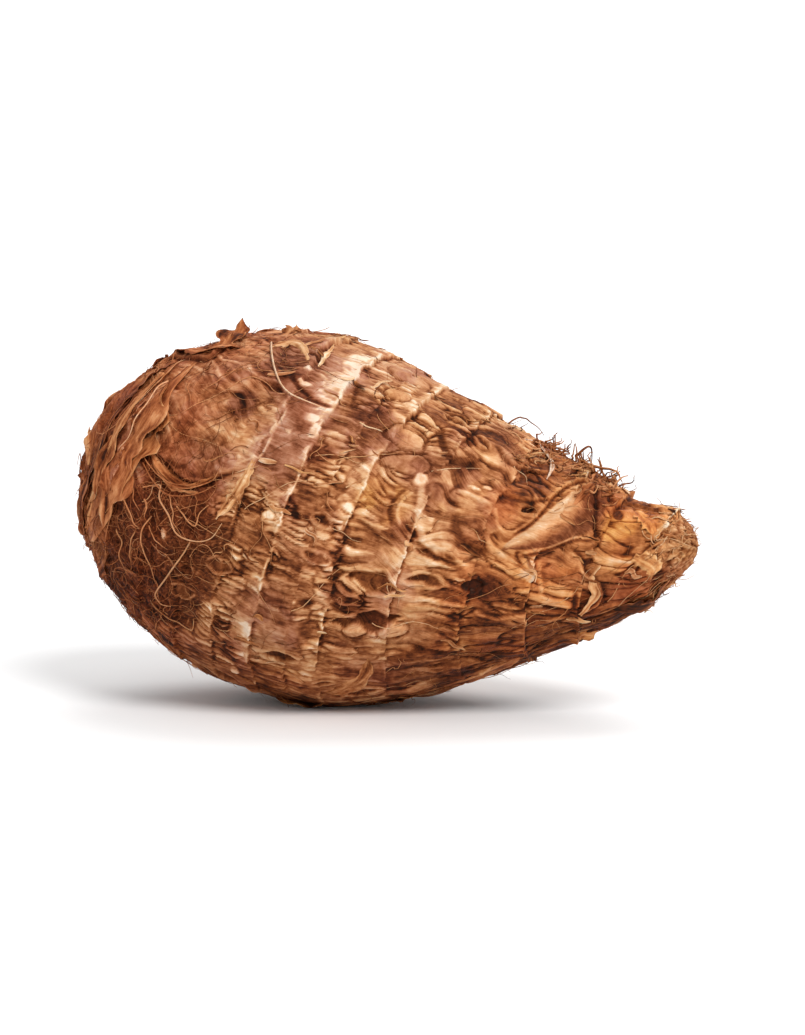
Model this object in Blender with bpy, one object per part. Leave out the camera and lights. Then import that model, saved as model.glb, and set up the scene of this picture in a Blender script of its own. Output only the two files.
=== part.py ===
"""A whole taro corm lying on its side. Metres, +Z up.

The long axis runs along +X, from the blunt base to the cut neck, and the root rests on a small flat spot at
the origin. Places on the skin are given as an arc length from the base's pole and an angle round the axis:
0 faces -Y, a quarter turn is straight up.
"""

import math
import random

import bmesh
import bpy
import numpy as np
from mathutils import Vector, noise

NODE = "taro_corm"

# The corm's outline, as shares of its length and of its largest radius.
LENGTH = 0.140
BELLY_RADIUS = 0.0415
BELLY_AT = 0.42
BASE_BLUNTNESS = 2.1
NECK_TAPER = 0.865
NECK_POWER = 1.22
STUB_DOME = 0.0012
STUB_ROUND_FROM = 0.90
STUB_ROUND = 0.42
OUTLINE_STEPS = 160
TANGENT_STEP = 0.0004

# The axis sinks towards the neck, and turns up a little at both ends.
NECK_DROOP = 0.0085
DROOP_FROM, DROOP_TO = 0.10, 0.90
TIP_RISE = 0.0032
RISE_FROM = 0.87
BASE_RISE = 0.0028
BASE_RISE_TO = 0.25

# A bow of the axis to the side, and the low lumps of the whole form.
SIDE_BOW = 0.0012
SECTION_LUMP = 0.0010
LUMPS_ROUND = 1.6
LUMP_SPACING = 0.035

FLAT_DEPTH = 0.0013
AXIS_HEIGHT = BELLY_RADIUS - FLAT_DEPTH

# Leaf-scar rings along the front of the corm, as shares of its length. Their planes lean by this slope.
RINGS = (0.008, 0.045, 0.11, 0.19, 0.265, 0.335, 0.40, 0.46, 0.53, 0.61, 0.70, 0.79, 0.88, 0.955)
RING_LEAN = 0.32

# Each band of husk rises from its foot to a free edge, the lip, which faces the neck.
BAND_ROWS = (0.08, 0.36, 0.64, 0.92)
BAND_LIFTS = (-0.0008, -0.0002, 0.0003, 0.0010)
FULL_BAND = 0.009
LIP_RAGGED = 0.0018
LIP_DETAIL = 5.0
FOLD_LIFT = 0.0006
FOLD_DETAIL = 9.0
UNEVENNESS = 0.8
UNEVEN_DETAIL = 3.0
AROUND = 64

# The relief dies away towards both poles, and near the surface that the root lies on.
POLE_CALM = 0.009
FLOOR_CALM_FROM, FLOOR_CALM_TO = -0.001, 0.009

# Layers of the noise round the corm: the rings use the first ones.
LAYER_SPACING = 7.3
FOLD_LAYER = 40
UNEVEN_LAYER = 80
NOISE_GAIN = 1.8

# Dried rootlets. Every fourth one stands in a tuft on the neck's upper side.
ROOTLETS = 46
ROOTLET_RADIUS = 0.00055
ROOTLET_TIP_SHARE = 0.8
ROOTLET_LENGTH = (0.008, 0.017)
ROOTLET_SPAN = (0.01, 0.95)
ROOTLET_RISE = (0.6, 1.3)
ROOTLET_HEADING = 1.0
ROOTLET_CURL = 1.5
ROOTLET_STEPS = 6
TUFT_EVERY = 4
TUFT_SPAN = (0.66, 0.92)
TUFT_SPREAD = 0.5

# Torn strips of husk, each from a ring's free edge: some drawn at random, some set on the upper side.
SHREDS = 12
SHRED_RINGS = RINGS[3:-1]
SHRED_ANGLES = (-0.35 * math.pi, 1.35 * math.pi)
SHRED_INSET = 0.002
SHRED_LENGTH = (0.008, 0.014)
SHRED_RISE = (0.0018, 0.0034)
SHRED_BEND = 0.4
SHRED_HEADING = 0.6
SHRED_HALF_WIDTH = 0.0026
SHRED_HALF_THICKNESS = 0.0006
SHRED_WIDTHS = (0.7, 1.0, 0.85, 0.55, 0.3)
SHRED_TIP = 0.0004
NECK_FROM = 0.75
NECK_SHRED_SIZE = 0.6
SET_SHREDS = (
    (0.045, 1.50, 0.018),
    (0.11, 1.65, 0.014),
    (0.19, 1.35, 0.012),
    (0.61, 1.55, 0.012),
    (0.70, 1.20, 0.010),
)

ROOT_DEPTH = 0.0016
FLOOR_CLEARANCE = 0.0015
WELD_DISTANCE = 1e-6

SKIN_COLOUR = (0.32, 0.15, 0.07)
SKIN_ROUGHNESS = 0.85
SEED = 12


def smooth(share):
    """Eases from 0 to 1 as share does, and stays there outside."""
    share = np.clip(share, 0.0, 1.0)
    return share * share * (3 - 2 * share)


def outline():
    """The outline from the base's pole to the stub's centre: arc length, place along the axis and radius."""
    turn = np.linspace(0.0, math.pi / 2, OUTLINE_STEPS)
    base_x = LENGTH * BELLY_AT * (1 - np.cos(turn) ** (2 / BASE_BLUNTNESS))
    base_r = BELLY_RADIUS * np.sin(turn) ** (2 / BASE_BLUNTNESS)
    along = np.linspace(0.0, 1.0, OUTLINE_STEPS)[1:]
    neck_x = LENGTH * (BELLY_AT + (1 - BELLY_AT) * along)
    rounding = np.clip((along - STUB_ROUND_FROM) / (1 - STUB_ROUND_FROM), 0.0, 1.0)
    neck_r = BELLY_RADIUS * (1 - NECK_TAPER * along**NECK_POWER) * (1 - STUB_ROUND * rounding**2)
    inward = np.linspace(0.0, 1.0, OUTLINE_STEPS)[1:]
    stub_x = LENGTH + STUB_DOME * np.sin(inward * math.pi / 2)
    stub_r = neck_r[-1] * (1 - inward)
    x = np.concatenate((base_x, neck_x, stub_x))
    r = np.concatenate((base_r, neck_r, stub_r))
    arc = np.concatenate(([0.0], np.cumsum(np.hypot(np.diff(x), np.diff(r)))))
    return arc, x, r


ARC, AXIAL, RADIUS = outline()
SKIN_LENGTH = ARC[-1]


def arc_at(share):
    """The arc length at which the skin passes a share of the corm's length."""
    return float(np.interp(share * LENGTH, AXIAL, ARC))


def axis_point(x):
    """The axis at a place along it, in the part's frame."""
    share = x / LENGTH
    droop = NECK_DROOP * smooth((share - DROOP_FROM) / (DROOP_TO - DROOP_FROM))
    droop_at_belly = NECK_DROOP * smooth((BELLY_AT - DROOP_FROM) / (DROOP_TO - DROOP_FROM))
    rise = TIP_RISE * smooth((share - RISE_FROM) / (1 - RISE_FROM))
    rise += BASE_RISE * smooth(1 - share / BASE_RISE_TO)
    bow = SIDE_BOW * math.sin(math.pi * share)
    return Vector((x - BELLY_AT * LENGTH, bow, AXIS_HEIGHT + droop_at_belly - droop + rise))


def skin_point(arc, angle, lift=0.0):
    """The skin at an arc length and an angle, raised by lift, and its outward normal."""
    leaned = arc + RING_LEAN * float(np.interp(arc, ARC, RADIUS)) * math.sin(angle)
    leaned = min(max(leaned, 0.0), SKIN_LENGTH)
    x = float(np.interp(leaned, ARC, AXIAL))
    r = float(np.interp(leaned, ARC, RADIUS))
    ahead = min(leaned + TANGENT_STEP, SKIN_LENGTH)
    behind = max(leaned - TANGENT_STEP, 0.0)
    dx = float(np.interp(ahead, ARC, AXIAL) - np.interp(behind, ARC, AXIAL))
    dr = float(np.interp(ahead, ARC, RADIUS) - np.interp(behind, ARC, RADIUS))
    size = math.hypot(dx, dr)
    outward = Vector((0.0, -math.cos(angle), math.sin(angle)))
    normal = (outward * dx - Vector((dr, 0.0, 0.0))) / size
    lump_place = outward * LUMPS_ROUND + Vector((x / LUMP_SPACING, 0.0, 0.0))
    lump = SECTION_LUMP * (r / BELLY_RADIUS) * noise.noise(lump_place)
    return axis_point(x) + outward * r + normal * (lift + lump), normal


def grid_rows():
    """Arc length, lift, band number and share of the band for each row of the skin's grid, poles included."""
    edges = [0.0, *(arc_at(share) for share in RINGS), SKIN_LENGTH]
    rows = [(0.0, 0.0, 0, 0.0)]
    for band, (start, end) in enumerate(zip(edges, edges[1:])):
        size = min(1.0, (end - start) / FULL_BAND)
        for share, lift in zip(BAND_ROWS, BAND_LIFTS):
            rows.append((start + (end - start) * share, lift * size, band, share))
    return [*rows, (SKIN_LENGTH, 0.0, len(edges) - 2, 1.0)]


def ragged(angle, layer, detail):
    """A noise round the corm, different in each layer, from about -1 to 1."""
    place = Vector((math.cos(angle), math.sin(angle), 0.0)) * detail
    return noise.noise(place + Vector((0.0, 0.0, LAYER_SPACING * layer))) * NOISE_GAIN


def row_of(vertex, last_row):
    """The row of a unit UV sphere's vertex, counted from its top pole."""
    return round(math.acos(max(-1.0, min(1.0, vertex.co.z))) / math.pi * last_row)


def finish(bm, name, collection):
    """Faces every face outwards and makes an object of the mesh."""
    bm.normal_update()
    bmesh.ops.recalc_face_normals(bm, faces=bm.faces)
    mesh = bpy.data.meshes.new(name)
    bm.to_mesh(mesh)
    bm.free()
    made = bpy.data.objects.new(name, mesh)
    collection.objects.link(made)
    return made


def make_body(collection):
    """The corm's skin: a UV sphere whose rows are laid along the bands of husk."""
    rows = grid_rows()
    bm = bmesh.new()
    bmesh.ops.create_uvsphere(bm, u_segments=AROUND, v_segments=len(rows) - 1, radius=1.0)
    for vertex in bm.verts:
        row = row_of(vertex, len(rows) - 1)
        angle = math.atan2(vertex.co.y, vertex.co.x)
        arc, lift, band, share = rows[row]
        calm = float(smooth(min(arc, SKIN_LENGTH - arc) / POLE_CALM))
        torn = ragged(angle, band, LIP_DETAIL) * (1 - share) + ragged(angle, band + 1, LIP_DETAIL) * share
        folded = FOLD_LIFT * ragged(angle, band + FOLD_LAYER, FOLD_DETAIL)
        uneven = 1 + UNEVENNESS * ragged(angle, band + UNEVEN_LAYER, UNEVEN_DETAIL)
        arc += LIP_RAGGED * torn * calm
        lift = (lift + folded) * uneven * calm
        height = skin_point(arc, angle)[0].z
        lift *= float(smooth((height - FLOOR_CALM_FROM) / (FLOOR_CALM_TO - FLOOR_CALM_FROM)))
        point = skin_point(arc, angle, lift)[0]
        point.z = max(point.z, 0.0)
        vertex.co = point
    return finish(bm, NODE, collection)


def rootlet_points(rng, arc, angle):
    """A path from inside the corm out of its skin, which climbs at first and then bends over."""
    start, normal = skin_point(arc, angle, -ROOT_DEPTH)
    along = (skin_point(arc + TANGENT_STEP, angle, -ROOT_DEPTH)[0] - start).normalized()
    across = normal.cross(along)
    heading = rng.uniform(-ROOTLET_HEADING, ROOTLET_HEADING)
    flat = along * math.cos(heading) + across * math.sin(heading)
    climb = rng.uniform(*ROOTLET_RISE)
    sideways = rng.uniform(-ROOTLET_CURL, ROOTLET_CURL)
    step_length = (rng.uniform(*ROOTLET_LENGTH) + ROOT_DEPTH) / ROOTLET_STEPS
    points = [start]
    for step in range(1, ROOTLET_STEPS + 1):
        share = step / ROOTLET_STEPS
        direction = flat + normal * climb * (1 - ROOTLET_CURL * share) + across * sideways * share
        points.append(points[-1] + direction.normalized() * step_length)
    return points


def shred_path(rng, arc, angle, length):
    """Points and skin normals of a strip that starts inside the corm and lifts off along its skin."""
    heading = rng.uniform(-SHRED_HEADING, SHRED_HEADING)
    rise = rng.uniform(*SHRED_RISE)
    steps = len(SHRED_WIDTHS) - 1
    path = []
    for step in range(steps + 1):
        share = step / steps
        beyond = arc + length * share * math.cos(heading)
        turned = angle + length * share * math.sin(heading) / float(np.interp(beyond, ARC, RADIUS))
        path.append(skin_point(beyond, turned, (ROOT_DEPTH + rise) * share**SHRED_BEND - ROOT_DEPTH))
    return path


def clear_of_floor(points):
    return min(point.z for point in points) > FLOOR_CLEARANCE


def tube(name, points, radii, collection):
    """A tapered tube with filled caps through points, made a closed mesh."""
    curve = bpy.data.curves.new(name, "CURVE")
    curve.dimensions = "3D"
    curve.bevel_depth = 1.0
    curve.bevel_resolution = 0
    curve.use_fill_caps = True
    spline = curve.splines.new("POLY")
    spline.points.add(len(points) - 1)
    for spline_point, point, radius in zip(spline.points, points, radii):
        spline_point.co = (*point, 1.0)
        spline_point.radius = radius
    drawn = bpy.data.objects.new(name, curve)
    collection.objects.link(drawn)
    mesh = bpy.data.meshes.new_from_object(drawn.evaluated_get(bpy.context.evaluated_depsgraph_get()))
    bm = bmesh.new()
    bm.from_mesh(mesh)
    bmesh.ops.remove_doubles(bm, verts=bm.verts, dist=WELD_DISTANCE)
    finish(bm, f"{name}_solid", collection)
    bpy.data.objects.remove(drawn)
    bpy.data.curves.remove(curve)
    bpy.data.meshes.remove(mesh)


def make_rootlets(rng, collection):
    """Dried rootlets all round the corm, thickest on the base, with a tuft on the neck's upper side."""
    made = 0
    while made < ROOTLETS:
        if made % TUFT_EVERY == 0:
            arc = arc_at(rng.uniform(*TUFT_SPAN))
            angle = rng.gauss(math.pi / 2, TUFT_SPREAD)
        else:
            arc = arc_at(rng.uniform(*ROOTLET_SPAN))
            angle = rng.uniform(-math.pi, math.pi)
        points = rootlet_points(rng, arc, angle)
        if clear_of_floor(points):
            thinning = (1 - ROOTLET_TIP_SHARE) / ROOTLET_STEPS
            radii = [ROOTLET_RADIUS * (1 - thinning * n) for n in range(ROOTLET_STEPS + 1)]
            tube(f"rootlet_{made:02d}", points, radii, collection)
            made += 1


def make_shreds(rng, collection):
    """Torn strips of husk that lift off at the rings' free edges: flat, tapered and bent outwards."""
    places = list(SET_SHREDS)
    while len(places) < SHREDS + len(SET_SHREDS):
        ring = rng.choice(SHRED_RINGS)
        size = NECK_SHRED_SIZE if ring > NECK_FROM else 1.0
        places.append((ring, rng.uniform(*SHRED_ANGLES), rng.uniform(*SHRED_LENGTH) * size))
    for number, (ring, angle, length) in enumerate(places):
        path = shred_path(rng, arc_at(ring) - SHRED_INSET, angle, length)
        if clear_of_floor([point for point, _ in path]):
            shred_along(f"shred_{number:02d}", path, collection)


def shred_along(name, path, collection):
    """A flat strip with a lens-shaped section: a UV sphere whose rows are drawn out along the path."""
    last_row = len(path) + 1
    bm = bmesh.new()
    bmesh.ops.create_uvsphere(bm, u_segments=4, v_segments=last_row, radius=1.0)
    for vertex in bm.verts:
        row = row_of(vertex, last_row)
        step = min(max(row - 1, 0), len(path) - 1)
        point, normal = path[step]
        along = (path[min(step + 1, len(path) - 1)][0] - path[max(step - 1, 0)][0]).normalized()
        across = normal.cross(along).normalized()
        if row == 0:
            vertex.co = point - along * SHRED_TIP
        elif row == last_row:
            vertex.co = point + along * SHRED_TIP
        else:
            turn = math.atan2(vertex.co.y, vertex.co.x)
            wide = SHRED_HALF_WIDTH * SHRED_WIDTHS[step] * math.cos(turn)
            vertex.co = point + across * wide + normal * SHRED_HALF_THICKNESS * math.sin(turn)
    finish(bm, name, collection)


def join(body, collection):
    """Unites every solid of the collection with the body, and removes them."""
    union = body.modifiers.new("grown_together", "BOOLEAN")
    union.operation = "UNION"
    union.operand_type = "COLLECTION"
    union.collection = collection
    union.solver = "MANIFOLD"
    graph = bpy.context.evaluated_depsgraph_get()
    joined = bpy.data.meshes.new_from_object(body.evaluated_get(graph))
    body.modifiers.clear()
    body.data = joined
    joined.name = NODE
    for solid in list(collection.objects):
        bpy.data.objects.remove(solid)
    bpy.data.collections.remove(collection)


def skin_material():
    material = bpy.data.materials.new("husk")
    material.use_nodes = True
    shader = material.node_tree.nodes["Principled BSDF"]
    shader.inputs["Base Color"].default_value = (*SKIN_COLOUR, 1.0)
    shader.inputs["Roughness"].default_value = SKIN_ROUGHNESS
    shader.inputs["Metallic"].default_value = 0.0
    return material


for old in list(bpy.data.objects):
    bpy.data.objects.remove(old)
corm_collection = bpy.data.collections.new("taro_root")
grown_collection = bpy.data.collections.new("grown_on_the_corm")
bpy.context.scene.collection.children.link(corm_collection)
bpy.context.scene.collection.children.link(grown_collection)

draw = random.Random(SEED)
corm = make_body(corm_collection)
make_rootlets(draw, grown_collection)
make_shreds(draw, grown_collection)
join(corm, grown_collection)
corm.data.materials.clear()
corm.data.materials.append(skin_material())
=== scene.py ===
"""The finished taro root: husk bands, torn husk and fibres over the corm's form, with floor, light, camera.

Lengths are in metres except where a name or a comment says mm. A place on the skin is an arc length from the
base's pole along the front, and an angle round the axis: 0 faces -Y, a quarter turn is straight up.
"""

import math

import bpy
import numpy as np
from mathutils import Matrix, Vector, noise


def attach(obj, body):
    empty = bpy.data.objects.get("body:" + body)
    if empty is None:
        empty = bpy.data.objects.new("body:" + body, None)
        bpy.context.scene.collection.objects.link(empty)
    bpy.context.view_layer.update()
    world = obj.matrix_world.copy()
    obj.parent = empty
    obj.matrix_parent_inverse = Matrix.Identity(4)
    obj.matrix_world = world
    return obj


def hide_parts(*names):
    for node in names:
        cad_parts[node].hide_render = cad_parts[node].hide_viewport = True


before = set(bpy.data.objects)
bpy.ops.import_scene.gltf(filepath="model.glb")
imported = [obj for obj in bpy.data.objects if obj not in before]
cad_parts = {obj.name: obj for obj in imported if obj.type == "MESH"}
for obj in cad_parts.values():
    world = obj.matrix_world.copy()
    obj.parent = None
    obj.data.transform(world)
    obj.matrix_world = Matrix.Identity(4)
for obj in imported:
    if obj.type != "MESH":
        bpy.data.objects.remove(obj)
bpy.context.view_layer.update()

# The corm's form, as in the solid.
LENGTH = 0.140
BELLY_RADIUS = 0.0415
BELLY_AT = 0.42
BASE_BLUNTNESS = 2.1
NECK_TAPER = 0.865
NECK_POWER = 1.22
STUB_DOME = 0.0012
STUB_ROUND_FROM = 0.90
STUB_ROUND = 0.42
OUTLINE_STEPS = 160
TANGENT_STEP = 0.0004
NECK_DROOP = 0.0085
DROOP_FROM, DROOP_TO = 0.10, 0.90
TIP_RISE = 0.0032
RISE_FROM = 0.87
BASE_RISE = 0.0028
BASE_RISE_TO = 0.25
SIDE_BOW = 0.0012
SECTION_LUMP = 0.0010
LUMPS_ROUND = 1.6
LUMP_SPACING = 0.035
FLAT_DEPTH = 0.0013
AXIS_HEIGHT = BELLY_RADIUS - FLAT_DEPTH
RINGS = (0.008, 0.045, 0.11, 0.19, 0.265, 0.335, 0.40, 0.46, 0.53, 0.61, 0.70, 0.79, 0.88, 0.955)
RING_LEAN = 0.32
BAND_ROWS = (0.0, 0.08, 0.36, 0.64, 0.92, 1.0)
BAND_LIFTS = (-0.0008, -0.0008, -0.0002, 0.0003, 0.0010, 0.0010)
FULL_BAND = 0.009
FOLD_LIFT = 0.0006
FOLD_DETAIL = 9.0
POLE_CALM = 0.009
FLOOR_CALM_FROM, FLOOR_CALM_TO = -0.001, 0.009
LAYER_SPACING = 7.3
FOLD_LAYER = 40
NOISE_GAIN = 1.8

MM = 0.001


def smooth(share):
    share = np.clip(share, 0.0, 1.0)
    return share * share * (3 - 2 * share)


def between(value, start, end):
    """0 before start, 1 past end, smooth between; start may be the larger one."""
    return smooth((value - start) / (end - start))


def mix(a, b, share):
    return a + (b - a) * share


def round_from(start, angle):
    """The turn from start to angle, from minus to plus half a turn."""
    return np.mod(angle - start + math.pi, math.tau) - math.pi


def outline():
    """The corm's outline before it bends: arc length, place along the axis and radius."""
    turn = np.linspace(0.0, math.pi / 2, OUTLINE_STEPS)
    base_x = LENGTH * BELLY_AT * (1 - np.cos(turn) ** (2 / BASE_BLUNTNESS))
    base_r = BELLY_RADIUS * np.sin(turn) ** (2 / BASE_BLUNTNESS)
    along = np.linspace(0.0, 1.0, OUTLINE_STEPS)[1:]
    neck_x = LENGTH * (BELLY_AT + (1 - BELLY_AT) * along)
    rounding = np.clip((along - STUB_ROUND_FROM) / (1 - STUB_ROUND_FROM), 0.0, 1.0)
    neck_r = BELLY_RADIUS * (1 - NECK_TAPER * along**NECK_POWER) * (1 - STUB_ROUND * rounding**2)
    inward = np.linspace(0.0, 1.0, OUTLINE_STEPS)[1:]
    stub_x = LENGTH + STUB_DOME * np.sin(inward * math.pi / 2)
    stub_r = neck_r[-1] * (1 - inward)
    x = np.concatenate((base_x, neck_x, stub_x))
    r = np.concatenate((base_r, neck_r, stub_r))
    arc = np.concatenate(([0.0], np.cumsum(np.hypot(np.diff(x), np.diff(r)))))
    return arc, x, r


ARC, AXIAL, RADIUS = outline()
SKIN_LENGTH = float(ARC[-1])
RING_ARCS = np.interp(np.array(RINGS) * LENGTH, AXIAL, ARC)
EDGES = np.concatenate(([0.0], RING_ARCS, [SKIN_LENGTH]))
BANDS = len(EDGES) - 1


def leaned_arc(arc, angle):
    return np.clip(arc + RING_LEAN * np.interp(arc, ARC, RADIUS) * np.sin(angle), 0.0, SKIN_LENGTH)


# Fixed tables for the noise, which is worked out on whole arrays.
PERMUTED = np.random.default_rng(5).permutation(256)
SLOPES = np.random.default_rng(6).normal(size=(256, 3))
SLOPES /= np.linalg.norm(SLOPES, axis=1)[:, None]
PERLIN_GAIN = 1.7


def perlin(place, scale=1.0, shift=0.0):
    """Gradient noise at places (..., 3), from about -1 to 1."""
    place = place * scale + shift
    cell = np.floor(place).astype(np.int64)
    inside = place - cell
    fade = inside**3 * (inside * (inside * 6 - 15) + 10)
    total = np.zeros(place.shape[:-1])
    for corner in np.ndindex(2, 2, 2):
        at = cell + corner
        row = PERMUTED[(at[..., 1] + PERMUTED[at[..., 2] & 255]) & 255]
        slope = SLOPES[PERMUTED[(at[..., 0] + row) & 255]]
        weight = np.where(corner, fade, 1 - fade).prod(axis=-1)
        total += weight * ((inside - corner) * slope).sum(axis=-1)
    return total * PERLIN_GAIN


def rand(a, b, salt):
    """A fixed random number from 0 to 1 for each pair of whole numbers."""
    mixed = (np.asarray(a, np.int64) * 73856093) ^ (np.asarray(b, np.int64) * 19349663) ^ (salt * 83492791)
    mixed = ((mixed ^ (mixed >> 13)) * 1274126177) & 0xFFFFFFFF
    mixed = ((mixed ^ (mixed >> 15)) * 2246822519) & 0xFFFFFFFF
    return ((mixed ^ (mixed >> 16)) & 0xFFFFFF) / float(0x1000000)


# A cell's point keeps this far from the grid's lines, and varies over this much of a grid square.
CELL_INSET, CELL_SPREAD = 0.12, 0.76


def cells(u, v, turns, tall, wide, salt):
    """Irregular cells round scattered points; v wraps at turns.

    u along and v around are places counted in cells of tall by wide mm. Gives the distance to the cell's edge
    in mm, two random numbers of the cell, and how far along it the place lies.
    """
    row, column = np.floor(u).astype(np.int64), np.floor(v).astype(np.int64)
    first, second = np.full(u.shape, 9.0), np.full(u.shape, 9.0)
    first_u, first_v, second_u, second_v = (np.zeros(u.shape) for _ in range(4))
    own_row, own_column = row.copy(), column.copy()
    for down, right in np.ndindex(3, 3):
        a, b = row + down - 1, column + right - 1
        wrapped = np.mod(b, turns)
        gap_u = u - a - CELL_INSET - CELL_SPREAD * rand(a, wrapped, salt)
        gap_v = v - b - CELL_INSET - CELL_SPREAD * rand(a, wrapped, salt + 1)
        far = gap_u**2 + gap_v**2
        closer = far < first
        runner_up = ~closer & (far < second)
        second, second_u, second_v = (
            np.where(closer, nearest, np.where(runner_up, new, before))
            for nearest, new, before in (
                (first, far, second), (first_u, gap_u, second_u), (first_v, gap_v, second_v)
            )
        )
        first, first_u, first_v, own_row, own_column = (
            np.where(closer, new, before)
            for new, before in (
                (far, first), (gap_u, first_u), (gap_v, first_v), (a, own_row), (wrapped, own_column)
            )
        )
    slope = 2 * np.hypot((second_u - first_u) / tall, (second_v - first_v) / wide) + 1e-6
    edge = (second - first) / slope
    return edge, rand(own_row, own_column, salt + 2), rand(own_row, own_column, salt + 3), first_u


# The solid's own folds and lumps, from the same formula.
TURN = np.linspace(-math.pi, math.pi, 361)
CIRCLE = [(math.cos(a), math.sin(a)) for a in TURN]
FOLD_TABLE = NOISE_GAIN * np.array(
    [
        [noise.noise(Vector((c * FOLD_DETAIL, s * FOLD_DETAIL, LAYER_SPACING * layer))) for c, s in CIRCLE]
        for layer in range(FOLD_LAYER, FOLD_LAYER + BANDS)
    ]
)


def look_up(table, layer, angle):
    """Linear look-up round the corm in one row of a table for each place."""
    spot = np.mod(angle + math.pi, math.tau) / math.tau * (len(TURN) - 1)
    left = np.minimum(spot.astype(np.int64), len(TURN) - 2)
    return mix(table[layer, left], table[layer, left + 1], spot - left)


LUMP_X = np.linspace(0.0, LENGTH + STUB_DOME, 90)
LUMP_TABLE = np.array(
    [
        [noise.noise(Vector((x / LUMP_SPACING, -c * LUMPS_ROUND, s * LUMPS_ROUND))) for c, s in CIRCLE]
        for x in LUMP_X
    ]
)


def lumps(x, angle):
    """The broad unevenness of the corm, between the rows of its table."""
    spot = np.clip(x / LUMP_X[-1] * (len(LUMP_X) - 1), 0, len(LUMP_X) - 1.001)
    row = spot.astype(np.int64)
    return mix(look_up(LUMP_TABLE, row, angle), look_up(LUMP_TABLE, row + 1, angle), spot - row)


def axis_points(x):
    """The corm's bent axis."""
    share = x / LENGTH
    droop = NECK_DROOP * smooth((share - DROOP_FROM) / (DROOP_TO - DROOP_FROM))
    droop_at_belly = NECK_DROOP * smooth((BELLY_AT - DROOP_FROM) / (DROOP_TO - DROOP_FROM))
    rise = TIP_RISE * smooth((share - RISE_FROM) / (1 - RISE_FROM))
    rise = rise + BASE_RISE * smooth(1 - share / BASE_RISE_TO)
    bow = SIDE_BOW * np.sin(math.pi * share)
    return np.stack((x - BELLY_AT * LENGTH, bow, AXIS_HEIGHT + droop_at_belly - droop + rise), axis=-1)


def skin(arc, angle):
    """Points of the plain skin, its normals and its radius."""
    leaned = leaned_arc(arc, angle)
    x, r = np.interp(leaned, ARC, AXIAL), np.interp(leaned, ARC, RADIUS)
    ahead, behind = np.minimum(leaned + TANGENT_STEP, SKIN_LENGTH), np.maximum(leaned - TANGENT_STEP, 0.0)
    dx = np.interp(ahead, ARC, AXIAL) - np.interp(behind, ARC, AXIAL)
    dr = np.interp(ahead, ARC, RADIUS) - np.interp(behind, ARC, RADIUS)
    size = np.hypot(dx, dr)
    zero = np.zeros_like(angle)
    outward = np.stack((zero, -np.cos(angle), np.sin(angle)), axis=-1)
    normal = (outward * dx[..., None] - np.stack((dr, zero, zero), axis=-1)) / size[..., None]
    lump = SECTION_LUMP * (r / BELLY_RADIUS) * lumps(x, angle)
    return axis_points(x) + outward * r[..., None] + normal * lump[..., None], normal, r


# The rings as they show, in mm of arc; how strong their step and their cream edge are.
RING_SHIFT_MM = np.array((0, 0, 0, 0, 0, 0, 0.8, 0, -3.2, -1.6, 0, 0, -3.0, 0))
RINGS_MM = RING_ARCS / MM + RING_SHIFT_MM
STEP = np.array((0.6, 0.6, 0.6, 0.7, 0.6, 0.6, 0.8, 0.2, 0.6, 0.8, 0.6, 0.8, 1.3, 0.9, 0.3))
CREAM = np.array((0.1, 0.2, 0.3, 0.3, 0.4, 0.5, 1.1, 0.05, 0.8, 0.65, 0.35, 0.6, 0.2, 0.4, 0.0))
# In each band between two rings: rows of strips along it, and about how wide a strip is.
STRIP_ROWS = np.array((1, 2, 2, 2, 2, 2, 2, 1, 2, 2, 1, 1, 1, 1, 1))
STRIP_MM = (1.5, 1.4, 1.35, 1.35, 1.4, 1.45, 1.5, 1.55, 1.7, 1.9, 2.5, 3.0, 3.4, 3.8, 2.0)
BAND_ENDS_MM = np.concatenate((RINGS_MM, [SKIN_LENGTH / MM]))
BAND_STARTS_MM = np.concatenate(([0.0], RINGS_MM))
BAND_RADIUS_MM = np.interp((BAND_STARTS_MM + BAND_ENDS_MM) / 2 * MM, ARC, RADIUS) / MM
STRIP_COUNT = np.array([max(5, round(math.tau * r / wide)) for r, wide in zip(BAND_RADIUS_MM, STRIP_MM)])
# The strips run square to the leaned rings, so they fall towards the neck along the front.
SLANT_TABLE = np.concatenate(([0.0], np.cumsum(np.diff(AXIAL) / np.maximum(RADIUS[1:], 0.016))))
SLANT_TABLE -= np.interp(0.090, ARC, SLANT_TABLE)

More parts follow.
